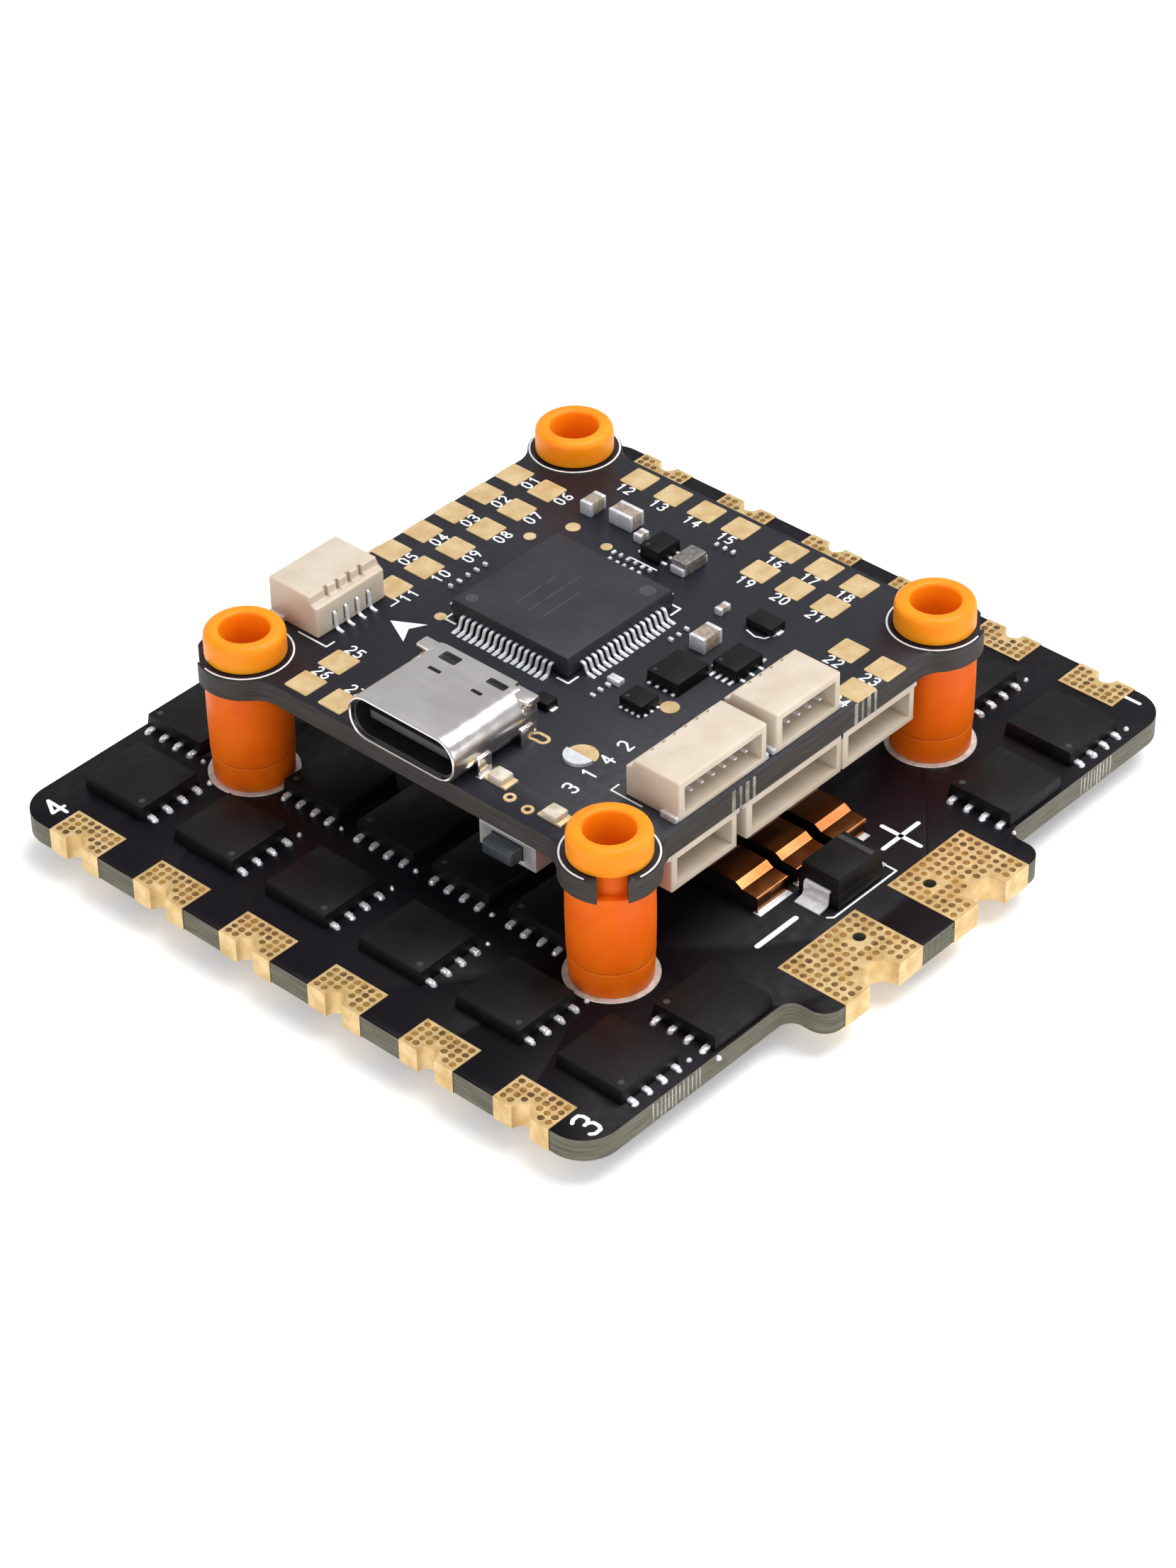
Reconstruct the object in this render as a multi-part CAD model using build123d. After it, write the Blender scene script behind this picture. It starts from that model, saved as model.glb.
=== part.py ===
from build123d import *
import os

os.makedirs("parts", exist_ok=True)

# Flight stack of a small multirotor: a four-in-one motor speed controller with a flight
# controller on soft grommets above it. Millimetres. Origin: centre of the 30.5 mm screw
# pattern, on the plane that the lowest grommet faces rest on. +Y is the front of the craft,
# +X its right side, +Z up.

# ---- screw pattern and grommets ----
hole_pitch = 30.5
screw_bore = 3.2
neck_wall = 0.5
neck_clearance = 0.05
flange_overlap = 0.52
board_thickness = 1.6
foot_height = 1.9
esc_cap_height = 1.85
fc_cap_height = 1.8
board_gap = 7.6
body_extra = 0.13
ring_thickness = 0.05
ring_width = 0.9
grommet_round = 0.35

# ---- speed controller board ----
esc_side_margin = 12.85
esc_front_margin = 8.65
esc_rear_margin = 9.65
esc_corner = 2.5
tab_width = 21.0
tab_reach = 2.9
tab_shift_x = 0.35
tab_tip_round = 1.3
tab_root_round = 1.0

# ---- plated wire pads ----
plating = 0.05
motor_pads_per_side = 6
motor_pad_pitch = 7.6
motor_pad_width = 4.36
motor_pad_depth = 2.45
motor_pad_shift_y = -0.25
motor_notch = 0.76
battery_pad_width = 7.3
battery_pad_depth = 5.25
battery_pad_spacing = 10.4
battery_notch = 1.42
battery_via = 0.42
battery_via_inset = 3.4
battery_via_shift = 1.8

# ---- power transistors ----
fet_width = 5.0
fet_length = 5.3
fet_height = 1.0
fet_lead_pitch = 1.27
fet_lead_width = 0.42
fet_lead_reach = 0.5
fet_lead_height = 0.25
fet_tab_reach = 0.25
fet_outer_inset = 6.8
fet_outer_front_gap = 1.8
fet_outer_rear_gap = 0.65
fet_inner_setback = 8.15
fet_ring_gap = 0.03
fet_end_gap = 0.2
fet_end_shift = 0.9

# ---- clamping diode and bulk capacitors ----
tvs_length = 4.3
tvs_width = 3.2
tvs_height = 2.3
tvs_lead_width = 2.0
tvs_lead_reach = 1.1
tvs_rear_gap = 3.0
bulk_count = 3
bulk_width = 2.9
bulk_length = 4.6
bulk_height = 1.6
bulk_pitch = 3.75
bulk_gap_to_tvs = 0.35

# ---- wire-to-board connectors, 1 mm pitch ----
pin_pitch = 1.0
housing_ends = 3.0
housing_depth = 4.25
housing_height = 2.9
housing_wall = 0.6
socket_depth = 3.1
step_depth = 0.6
step_height = 2.25
pin_width = 0.3
pin_thickness = 0.2
tail_reach = 0.75
nail_length = 1.5
nail_thickness = 0.3
nail_height = 0.9
edge_inset = 0.05
top_socket_inset = 0.4

# ---- flight controller board ----
waist_margin_x = 1.35
waist_margin_y = 1.75
lobe_web = 1.0
lobe_blend = 2.0
corner_slot = 1.85
solder_pad = 1.95
pad_pitch = 2.9

# ---- processor ----
mcu_size = 10.0
mcu_height = 1.4
mcu_standoff = 0.1
mcu_x = 0.65
mcu_y = 3.0
mcu_pins_per_side = 16
mcu_pin_pitch = 0.5
mcu_pin_width = 0.22
mcu_pin_reach = 1.0

# ---- USB-C receptacle ----
usb_width = 8.94
usb_height = 3.26
usb_length = 7.35
usb_wall = 0.3
usb_corner = 1.5
usb_overhang = 0.45
tongue_width = 6.7
tongue_thickness = 0.7
tongue_reach = 4.9
usb_back = 1.6
usb_contact_count = 12
usb_contact_pitch = 0.5

# ---- boot button ----
button_y = -8.2
button_width = 4.6
button_depth = 3.5
button_height = 1.8
button_wall = 0.3
button_travel = 0.25
plunger_width = 2.4
plunger_height = 1.0
plunger_reach = 1.0
plunger_clearance = 0.08
head_extra = 0.4
head_depth = 0.5
spring_thickness = 0.1
spring_rise = 0.35
spring_gap = 0.05

# ---- levels ----
esc_bottom = foot_height
esc_top = esc_bottom + board_thickness
fc_bottom = esc_top + board_gap
fc_top = fc_bottom + board_thickness

# ---- plan sizes that follow ----
half_pitch = hole_pitch / 2
neck_radius = screw_bore / 2 + neck_wall
hole_radius = neck_radius + neck_clearance
flange_radius = neck_radius + flange_overlap
esc_side = half_pitch + esc_side_margin
esc_front = half_pitch + esc_front_margin
esc_rear = -half_pitch - esc_rear_margin
esc_middle_y = (esc_front + esc_rear) / 2
tab_rear = esc_rear - tab_reach
fc_side = half_pitch + waist_margin_x
fc_end = half_pitch + waist_margin_y


def block(x, y, z):
    """A box given by its low and high value along each axis."""
    size = Box(x[1] - x[0], y[1] - y[0], z[1] - z[0])
    return Pos((x[0] + x[1]) / 2, (y[0] + y[1]) / 2, (z[0] + z[1]) / 2) * size


def disc(x, y, low, high, radius):
    """An upright cylinder between two heights."""
    return Pos(x, y, (low + high) / 2) * Cylinder(radius, high - low)


def save(name, *solids):
    """Write one node, as one solid or as a group of separate solids."""
    shape = solids[0] if len(solids) == 1 else Compound(children=list(solids))
    export_step(shape, f"parts/{name}.step")


def screw_corners():
    return [(sx * half_pitch, sy * half_pitch) for sy in (-1, 1) for sx in (-1, 1)]


def vertices_near(sketch, x_is, y_is):
    """Vertices whose distance from the given lines is nothing; None leaves a line out."""
    found = []
    for v in sketch.vertices():
        on_x = x_is is None or min(abs(v.X - x) for x in x_is) < 1e-4
        on_y = y_is is None or min(abs(v.Y - y) for y in y_is) < 1e-4
        if on_x and on_y:
            found.append(v)
    return found


# ---- speed controller board and its plated pads ----
def motor_pad_centres():
    first = esc_middle_y + motor_pad_shift_y + (motor_pads_per_side - 1) / 2 * motor_pad_pitch
    return [first - i * motor_pad_pitch for i in range(motor_pads_per_side)]


def battery_pad_centres():
    return [tab_shift_x + side * battery_pad_spacing / 2 for side in (-1, 1)]


def motor_notches(radius, low, high):
    return [disc(side * esc_side, y, low, high, radius)
            for side in (-1, 1) for y in motor_pad_centres()]


def battery_notches(radius, low, high):
    return [disc(x, tab_rear, low, high, radius) for x in battery_pad_centres()]


def battery_vias(low, high):
    shifts = (battery_via_shift, -battery_via_shift)
    return [disc(x + shift, tab_rear + battery_via_inset, low, high, battery_via)
            for x, shift in zip(battery_pad_centres(), shifts)]


def esc_board():
    plan = Pos(0, esc_middle_y) * Rectangle(2 * esc_side, esc_front - esc_rear)
    plan += Pos(tab_shift_x, esc_rear - tab_reach / 2) * Rectangle(tab_width, tab_reach)
    tab_sides = (tab_shift_x - tab_width / 2, tab_shift_x + tab_width / 2)
    plan = fillet(vertices_near(plan, (-esc_side, esc_side), None), esc_corner)
    plan = fillet(vertices_near(plan, tab_sides, (esc_rear,)), tab_root_round)
    plan = fillet(vertices_near(plan, tab_sides, (tab_rear,)), tab_tip_round)
    board = Pos(0, 0, esc_bottom) * extrude(plan, board_thickness)
    cuts = [disc(x, y, esc_bottom, esc_top, hole_radius) for x, y in screw_corners()]
    cuts += motor_notches(motor_notch, esc_bottom, esc_top)
    cuts += battery_notches(battery_notch, esc_bottom, esc_top)
    cuts += battery_vias(esc_bottom, esc_top)
    return board - cuts


def plated_clip(x, y, board, notch, via=None):
    """Copper that wraps a board edge: top face, edge, notch wall and under face."""
    low = esc_bottom - plating
    high = esc_top + plating
    clip = block(x, y, (low, high)) - notch(low, high) - board
    if via:
        clip -= via(low, high)
    return clip.solids()[0]


def motor_pads(board):
    pads = []
    for side in (-1, 1):
        edge = side * esc_side
        span = sorted((edge + side * plating, edge - side * motor_pad_depth))
        for y in motor_pad_centres():
            across = (y - motor_pad_width / 2, y + motor_pad_width / 2)
            pads.append(plated_clip(span, across, board,
                                    lambda low, high: disc(edge, y, low, high, motor_notch - plating)))
    return pads


def battery_pads(board):
    pads = []
    along = (tab_rear - plating, tab_rear + battery_pad_depth)
    for i, x in enumerate(battery_pad_centres()):
        span = (x - battery_pad_width / 2, x + battery_pad_width / 2)
        pads.append(plated_clip(span, along, board,
                                lambda low, high: disc(x, tab_rear, low, high, battery_notch - plating),
                                lambda low, high: battery_vias(low, high)[i]))
    return pads


def mount_rings(level):
    """Plated annulus round each screw hole, on a board's upper face."""
    outer = hole_radius + ring_width
    return [disc(x, y, level, level + ring_thickness, outer)
            - disc(x, y, level, level + ring_thickness, hole_radius) for x, y in screw_corners()]


# ---- power transistors ----
def transistor():
    """Flat moulded package with four leads on its -Y side and a drain tab on its +Y side."""
    body = block((-fet_width / 2, fet_width / 2), (-fet_length / 2, fet_length / 2), (0, fet_height))
    body = chamfer(body.faces().sort_by(Axis.Z)[-1].edges(), 0.1)
    for i in range(4):
        x = (i - 1.5) * fet_lead_pitch
        body += block((x - fet_lead_width / 2, x + fet_lead_width / 2),
                      (-fet_length / 2 - fet_lead_reach, 0), (0, fet_lead_height))
    tab = fet_width / 2 - 0.4
    body += block((-tab, tab), (0, fet_length / 2 + fet_tab_reach), (0, fet_lead_height))
    return body


def outer_transistors(package):
    """One beside each motor pad, evenly spaced from the front edge to the rear, leads to the rear."""
    first = esc_front - fet_outer_front_gap - fet_tab_reach - fet_length / 2
    last = esc_rear + fet_outer_rear_gap + fet_lead_reach + fet_length / 2
    step = (first - last) / (motor_pads_per_side - 1)
    placed = []
    for side in (-1, 1):
        x = side * (esc_side - fet_outer_inset)
        placed += [Pos(x, first - i * step, esc_top) * package for i in range(motor_pads_per_side)]
    return placed


def inner_transistors(package):
    """A second column each side: four between the mount rings and one by each end of the board."""
    turned = Rot(0, 0, -90) * package
    column = esc_side - fet_outer_inset - fet_inner_setback
    beside_ring = half_pitch - hole_radius - ring_width - fet_ring_gap - fet_width / 2
    rows = [(column, beside_ring * share) for share in (1, 1 / 3, -1 / 3, -1)]
    rows += [(column + fet_end_shift, esc_front - fet_end_gap - fet_width / 2),
             (column + fet_end_shift, esc_rear + fet_end_gap + fet_width / 2)]
    return [Pos(side * x, y, esc_top) * turned for side in (-1, 1) for x, y in rows]


# ---- clamping diode, bulk capacitors ----
def tvs_place():
    return Pos(tab_shift_x - 0.2, esc_rear + tvs_rear_gap + tvs_width / 2, esc_top)


def tvs_body():
    body = block((-tvs_length / 2, tvs_length / 2), (-tvs_width / 2, tvs_width / 2), (0.15, tvs_height))
    return tvs_place() * chamfer(body.faces().sort_by(Axis.Z)[-1].edges(), 0.25)


def tvs_leads():
    """A bent strip at each end: down the side of the body and out along the board."""
    half = tvs_lead_width / 2
    leads = []
    for side in (-1, 1):
        wall = sorted((side * tvs_length / 2, side * (tvs_length / 2 + 0.2)))
        foot = sorted((side * tvs_length / 2, side * (tvs_length / 2 + tvs_lead_reach)))
        leads.append(tvs_place() * (block(wall, (-half, half), (0, tvs_height / 2 + 0.1))
                                    + block(foot, (-half, half), (0, 0.2))))
    return leads


def bulk_capacitors():
    """Ceramic blocks in a row ahead of the diode, each with a metal cap at its two ends."""
    rear = esc_rear + tvs_rear_gap + tvs_width + bulk_gap_to_tvs
    bodies, caps = [], []
    for i in range(bulk_count):
        x = tab_shift_x - 0.55 + (i - (bulk_count - 1) / 2) * bulk_pitch
        span = (x - bulk_width / 2, x + bulk_width / 2)
        bodies.append(block(span, (rear + 0.4, rear + bulk_length - 0.4), (esc_top, esc_top + bulk_height)))
        for y in (rear, rear + bulk_length - 0.4):
            caps.append(block(span, (y, y + 0.4), (esc_top, esc_top + bulk_height)))
    return bodies, caps


# ---- wire-to-board connectors ----
def connector(pins):
    """Housing and contacts, mouth towards -Y at y = 0, standing on z = 0."""
    half = (housing_ends + (pins - 1) * pin_pitch) / 2
    housing = block((-half, half), (0, housing_depth), (0, housing_height))
    housing -= block((-half + housing_wall, half - housing_wall), (0, socket_depth),
                     (housing_wall, housing_height - housing_wall))
    housing -= block((-half, half), (housing_depth - step_depth, housing_depth),
                     (step_height, housing_height))
    contacts = []
    blade_z = housing_height / 2 - 0.2
    for i in range(pins):
        x = (i - (pins - 1) / 2) * pin_pitch
        across = (x - pin_width / 2, x + pin_width / 2)
        blade = block(across, (1.0, housing_depth + pin_thickness), (blade_z, blade_z + pin_thickness))
        leg = block(across, (housing_depth, housing_depth + pin_thickness), (0, blade_z))
        foot = block(across, (housing_depth, housing_depth + tail_reach), (0, pin_thickness))
        contacts.append(blade + leg + foot)
    for side in (-1, 1):
        span = sorted((side * half, side * (half - nail_thickness)))
        contacts.append(block(span, (0.3, 0.3 + nail_length), (0, nail_height)))
    return housing - contacts, contacts


def save_connector(name, pins, place):
    housing, contacts = connector(pins)
    save(name + "_housing", place * housing)
    save(name + "_contacts", *[place * c for c in contacts])


# ---- flight controller board ----
def fc_board():
    plan = Rectangle(2 * fc_side, 2 * fc_end)
    lobe = hole_radius + lobe_web
    for x, y in screw_corners():
        plan += Pos(x, y) * Circle(lobe)
    joins = vertices_near(plan, (-fc_side, fc_side), None) + vertices_near(plan, None, (-fc_end, fc_end))
    plan = fillet(joins, lobe_blend)
    for x, y in screw_corners():
        plan -= Pos(x, y) * Circle(hole_radius)
        turn = 45 if x * y > 0 else -45
        side = 1 if x > 0 else -1
        plan -= Pos(x, y) * Rot(0, 0, turn) * Pos(side * lobe, 0) * Rectangle(2 * lobe, corner_slot)
    return Pos(0, 0, fc_bottom) * extrude(plan, board_thickness)


def fc_pad_centres():
    """Wire pads: two rows at the front edge, two columns at the right, groups by three lobes."""
    front = fc_end - solder_pad / 2
    right = half_pitch - 0.05
    centres = [(10.2 - i * pad_pitch, front) for i in range(5)]
    centres += [(10.2 - i * pad_pitch, front - pad_pitch) for i in range(6)]
    centres += [(right, 9.4 - i * pad_pitch) for i in range(4)]
    centres += [(right - col * pad_pitch, -3.4 - i * pad_pitch) for col in range(2) for i in range(3)]
    centres += [(9.35, -front + pad_pitch), (9.35, -front), (9.35 - pad_pitch, -front)]
    centres += [(-right + pad_pitch, 10.0), (-right, 10.0), (-right, 10.0 - pad_pitch)]
    return centres


def fc_pads():
    half = solder_pad / 2
    return [block((x - half, x + half), (y - half, y + half), (fc_top, fc_top + plating))
            for x, y in fc_pad_centres()]


# ---- processor ----
def mcu_body():
    half = mcu_size / 2
    base = fc_top + mcu_standoff
    body = block((mcu_x - half, mcu_x + half), (mcu_y - half, mcu_y + half), (base, base + mcu_height))
    return chamfer(body.faces().sort_by(Axis.Z)[-1].edges(), 0.18)


def mcu_leads():
    """Gull-wing leads, sixteen to a side."""
    half = mcu_size / 2
    high = mcu_standoff + mcu_height / 2
    out = half + mcu_pin_reach
    knee = half + 0.35
    points = [(half, high), (knee, high), (knee, 0.12), (out, 0.12), (out, 0), (knee - 0.12, 0),
              (knee - 0.12, high - 0.12), (half, high - 0.12)]
    face = make_face(Polyline(*[Vector(a, 0, b) for a, b in points], close=True))
    lead = extrude(face, mcu_pin_width / 2, dir=(0, 1, 0), both=True)
    leads = []
    for quarter in range(4):
        for i in range(mcu_pins_per_side):
            along = (i - (mcu_pins_per_side - 1) / 2) * mcu_pin_pitch
            leads.append(Pos(mcu_x, mcu_y, fc_top) * Rot(0, 0, 90 * quarter) * Pos(0, along) * lead)
    return leads


# ---- USB-C receptacle, mouth towards -X ----
def usb_front():
    return -fc_side - usb_overhang


def usb_tube(width, height, corner, low, high):
    plan = Plane.YZ * Pos(0, fc_top + usb_height / 2) * RectangleRounded(width, height, corner)
    return Pos(low, 0, 0) * extrude(plan, high - low)


def usb_shell():
    front = usb_front()
    back = front + usb_length
    shell = usb_tube(usb_width, usb_height, usb_corner, front, back)
    shell -= usb_tube(usb_width - 2 * usb_wall, usb_height - 2 * usb_wall, usb_corner - usb_wall, front, back)
    for side in (-1, 1):
        span = sorted((side * usb_width / 2, side * (usb_width / 2 - usb_wall)))
        for x in (front + 2.0, back - 1.6):
            shell += block((x, x + 1.1), span, (fc_top, fc_top + usb_height / 2))
    return shell


def usb_tongue():
    """Moulded insulator: a plug at the back of the shell with the contact tongue on it."""
    back = usb_front() + usb_length
    plug = usb_tube(usb_width - 2 * usb_wall, usb_height - 2 * usb_wall, usb_corner - usb_wall,
                    back - usb_back, back)
    mid = fc_top + usb_height / 2
    return plug + block((back - usb_back - tongue_reach, back - usb_back),
                        (-tongue_width / 2, tongue_width / 2),
                        (mid - tongue_thickness / 2, mid + tongue_thickness / 2))


def usb_contacts():
    start = usb_front() + usb_length - usb_back - tongue_reach + 0.5
    mid = fc_top + usb_height / 2
    strips = []
    for i in range(usb_contact_count):
        y = (i - (usb_contact_count - 1) / 2) * usb_contact_pitch
        for low in (mid + tongue_thickness / 2, mid - tongue_thickness / 2 - plating):
            strips.append(block((start, start + tongue_reach - 0.6), (y - 0.12, y + 0.12),
                                (low, low + plating)))
    return strips


# ---- boot button, under the board, pressed along +X ----
def button_levels():
    middle = fc_bottom - button_height / 2
    return middle - plunger_height / 2, middle + plunger_height / 2


def button_frame():
    front = -fc_side
    low, high = button_levels()
    gap = plunger_clearance
    half = plunger_width / 2 + gap
    frame = block((front, front + button_depth), (button_y - button_width / 2, button_y + button_width / 2),
                  (fc_bottom - button_height, fc_bottom))
    frame -= block((front, front + button_wall), (button_y - half, button_y + half), (low - gap, high + gap))
    chamber = half + head_extra
    frame -= block((front + button_wall, front + button_depth - button_wall),
                   (button_y - chamber, button_y + chamber), (low - gap, high + gap))
    return frame


def button_plunger():
    front = -fc_side
    levels = button_levels()
    half = plunger_width / 2
    inner = front + button_wall + spring_gap
    stem = block((front - plunger_reach, inner), (button_y - half, button_y + half), levels)
    stem = chamfer(stem.faces().sort_by(Axis.X)[0].edges(), 0.12)
    head = half + head_extra
    return stem + block((inner, inner + head_depth), (button_y - head, button_y + head), levels)


def button_spring():
    """Arched strip behind the plunger, ends against the back wall of the frame."""
    back = -fc_side + button_depth - button_wall
    half = plunger_width / 2
    low, high = button_levels()
    arch = ThreePointArc((back, button_y - half), (back - spring_rise, button_y), (back, button_y + half))
    strip = make_face(arch + offset_arch(back, half) + ends_of_arch(back, half))
    return Pos(0, 0, low + 0.1) * extrude(strip, high - low - 0.2)


def offset_arch(back, half):
    peak = back - spring_rise - spring_thickness
    return ThreePointArc((back - spring_thickness / 2, button_y - half - spring_thickness),
                         (peak, button_y), (back - spring_thickness / 2, button_y + half + spring_thickness))


def ends_of_arch(back, half):
    return [Line((back, button_y + side * half),
                 (back - spring_thickness / 2, button_y + side * (half + spring_thickness)))
            for side in (-1, 1)]


# ---- small board parts ----
def chip(x, y, width, depth, height, level, turn=0, under=False):
    """A plain moulded part on a board face, or hanging under it."""
    body = Box(width, depth, height)
    z = level - height / 2 if under else level + height / 2
    return Pos(x, y, z) * Rot(0, 0, turn) * body


def four_quarters(x, y):
    return [(sx * x, sy * y) for sx in (-1, 1) for sy in (-1, 1)]


def fc_small_parts():
    """Chips and passives on the flight controller's upper face, one node for each kind."""
    save("memory_chip", chip(0.25, -7.0, 3.0, 2.6, 0.9, fc_top))
    save("video_overlay_chip", chip(3.45, -9.1, 2.6, 2.0, 0.9, fc_top))
    save("gyro_sensor", chip(-3.45, -7.1, 1.7, 1.9, 0.8, fc_top))
    save("fc_regulator", chip(9.65, 2.75, 2.2, 1.6, 0.95, fc_top))
    save("tantalum_capacitor", chip(9.75, 0.4, 2.0, 1.3, 0.95, fc_top))
    save("protection_diodes", chip(7.5, -7.6, 1.9, 1.5, 0.6, fc_top, 20),
         chip(-7.2, -3.0, 1.0, 1.9, 0.5, fc_top))
    passives = [(4.1, -6.0, 2.0, 1.25, 1.1), (10.4, 9.35, 1.6, 0.9, 0.8), (10.7, 7.0, 1.6, 0.9, 0.7),
                (10.7, 5.6, 1.6, 0.9, 0.7), (7.4, 3.2, 0.6, 2.4, 0.5), (6.6, -4.6, 1.0, 0.6, 0.5)]
    save("fc_ceramic_capacitors", *[chip(x, y, w, d, h, fc_top) for x, y, w, d, h in passives])
    led_x = -fc_side + 1.3
    save("status_leds", *[chip(led_x, y, 1.1, 1.7, 0.5, fc_top) for y in (-5.9, -10.3)])


def esc_under_parts():
    """Control chips under the speed controller, clear of the grommet feet."""
    level = esc_bottom
    save("esc_microcontrollers", *[chip(x, y, 4.0, 4.0, 0.8, level, 0, True)
                                   for x, y in four_quarters(8.0, 7.0)])
    save("gate_drivers", *[chip(x, y, 4.0, 4.0, 0.8, level, 0, True) for x, y in four_quarters(14.5, 6.0)])
    save("esc_regulator", chip(0, 0, 3.0, 3.0, 1.0, level, 0, True))
    save("current_amplifier", chip(0, -8.0, 2.0, 2.1, 0.9, level, 0, True))
    places = four_quarters(11.2, 12.4) + four_quarters(11.2, 1.6)
    save("esc_filter_capacitors", *[chip(x, y, 1.25, 2.0, 1.2, level, 0, True) for x, y in places])


# ---- grommets ----
def esc_grommet(x, y):
    """Foot below the board, neck through it, cap above it that carries the upper grommet."""
    cap = esc_top + ring_thickness
    body = disc(x, y, 0, esc_bottom, flange_radius)
    body += disc(x, y, esc_bottom, cap, neck_radius)
    body += disc(x, y, cap, cap + esc_cap_height, flange_radius)
    return body - disc(x, y, 0, cap + esc_cap_height, screw_bore / 2)


def fc_grommet(x, y):
    """Tall body standing on the lower grommet, neck through the board, cap on top."""
    base = esc_top + ring_thickness + esc_cap_height
    cap = fc_top + ring_thickness
    top = cap + fc_cap_height
    body = disc(x, y, base, fc_bottom, flange_radius + body_extra)
    body += disc(x, y, fc_bottom, cap, neck_radius)
    upper = disc(x, y, cap, top, flange_radius)
    body += fillet(upper.edges().sort_by(Axis.Z)[-1], grommet_round)
    return body - disc(x, y, base, top, screw_bore / 2)


board = esc_board()
save("esc_board", board)
save("motor_pads", *motor_pads(board))
save("battery_pads", *battery_pads(board))
save("esc_mount_rings", *mount_rings(esc_top))
save("fc_mount_rings", *mount_rings(fc_top))
package = transistor()
save("outer_transistors", *outer_transistors(package))
save("inner_transistors", *inner_transistors(package))
save("tvs_body", tvs_body())
save("tvs_leads", *tvs_leads())
bulk_bodies, bulk_caps = bulk_capacitors()
save("bulk_capacitors", *bulk_bodies)
save("bulk_capacitor_ends", *bulk_caps)
esc_under_parts()

save("fc_board", fc_board())
save("fc_solder_pads", *fc_pads())
save("mcu_body", mcu_body())
save("mcu_leads", *mcu_leads())
save("usb_shell", usb_shell())
save("usb_tongue", usb_tongue())
save("usb_contacts", *usb_contacts())
fc_small_parts()
save("button_frame", button_frame())
save("button_plunger", button_plunger())
save("button_spring", button_spring())

rear = -fc_end + edge_inset
over = Rot(0, 180, 0)
rear_top = -fc_end + top_socket_inset
save_connector("rear_left_connector", 6, Pos(-6.6, rear_top, fc_top))
save_connector("rear_right_connector", 4, Pos(1.3, rear_top, fc_top))
save_connector("front_connector", 4, Pos(-8.4, -rear, fc_top) * Rot(0, 0, 180))
save_connector("under_left_connector", 4, Pos(-8.7, rear, fc_bottom) * over)
save_connector("under_middle_connector", 7, Pos(-0.35, rear, fc_bottom) * over)
save_connector("under_right_connector", 5, Pos(7.75, rear, fc_bottom) * over)
save_connector("esc_signal_connector", 8, Pos(0, esc_front - edge_inset, esc_top) * Rot(0, 0, 180))

corner_names = ("rear_left", "rear_right", "front_left", "front_right")
for name, (x, y) in zip(corner_names, screw_corners()):
    save("esc_grommet_" + name, esc_grommet(x, y))
    save("fc_grommet_" + name, fc_grommet(x, y))
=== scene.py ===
# A small multirotor's flight stack: a four-in-one motor speed controller board with a flight
# controller board above it on orange silicone grommets. The pieces are made below in the order
# in which the stack is put together, from the lower board up. Drawing is done in millimetres.
import math

import bmesh
import bpy
from mathutils import Matrix, Vector


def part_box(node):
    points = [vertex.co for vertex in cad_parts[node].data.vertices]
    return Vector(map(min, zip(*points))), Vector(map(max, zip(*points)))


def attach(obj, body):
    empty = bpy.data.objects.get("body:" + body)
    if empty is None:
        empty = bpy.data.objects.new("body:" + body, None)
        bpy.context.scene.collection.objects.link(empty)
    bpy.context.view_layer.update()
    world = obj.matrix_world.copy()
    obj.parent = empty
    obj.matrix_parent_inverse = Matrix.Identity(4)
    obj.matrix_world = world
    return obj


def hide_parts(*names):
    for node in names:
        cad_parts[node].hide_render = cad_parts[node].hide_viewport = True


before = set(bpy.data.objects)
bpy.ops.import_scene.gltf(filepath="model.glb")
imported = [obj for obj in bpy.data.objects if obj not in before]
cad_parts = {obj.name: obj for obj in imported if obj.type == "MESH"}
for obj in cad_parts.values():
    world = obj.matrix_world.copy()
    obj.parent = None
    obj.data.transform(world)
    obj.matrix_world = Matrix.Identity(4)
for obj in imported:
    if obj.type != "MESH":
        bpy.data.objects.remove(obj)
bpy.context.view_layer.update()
scene = bpy.context.scene
scene.view_settings.view_transform = "Standard"

# ---- Camera ----
# A long lens looks down on the rear left corner of the stack. The aim is the middle of the
# screw pattern at the lower board's upper face, with a small slide to one side.
azimuth = math.radians(-47.194)
elevation = math.radians(37.667)
roll = math.radians(-1.091)
distance = 0.277876
slide_right = -0.000334
slide_up = -0.001932
back = Vector((math.sin(azimuth) * math.cos(elevation),
               -math.cos(azimuth) * math.cos(elevation), math.sin(elevation)))
level_right = Vector((math.cos(azimuth), math.sin(azimuth), 0))
level_up = back.cross(level_right)
right = math.cos(roll) * level_right + math.sin(roll) * level_up
up = math.cos(roll) * level_up - math.sin(roll) * level_right
camera = bpy.data.objects.new("camera", bpy.data.cameras.new("camera"))
camera.data.sensor_width = 36
camera.data.lens = 99.98
camera.data.clip_start = 0.01
camera.data.clip_end = 10
aim = Vector((0, 0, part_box("esc_board")[1].z))
turn = Matrix((right, up, back)).transposed().to_4x4()
eye = aim + back * distance + right * slide_right + up * slide_up
camera.matrix_world = Matrix.Translation(eye) @ turn
scene.collection.objects.link(camera)
scene.camera = camera

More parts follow.
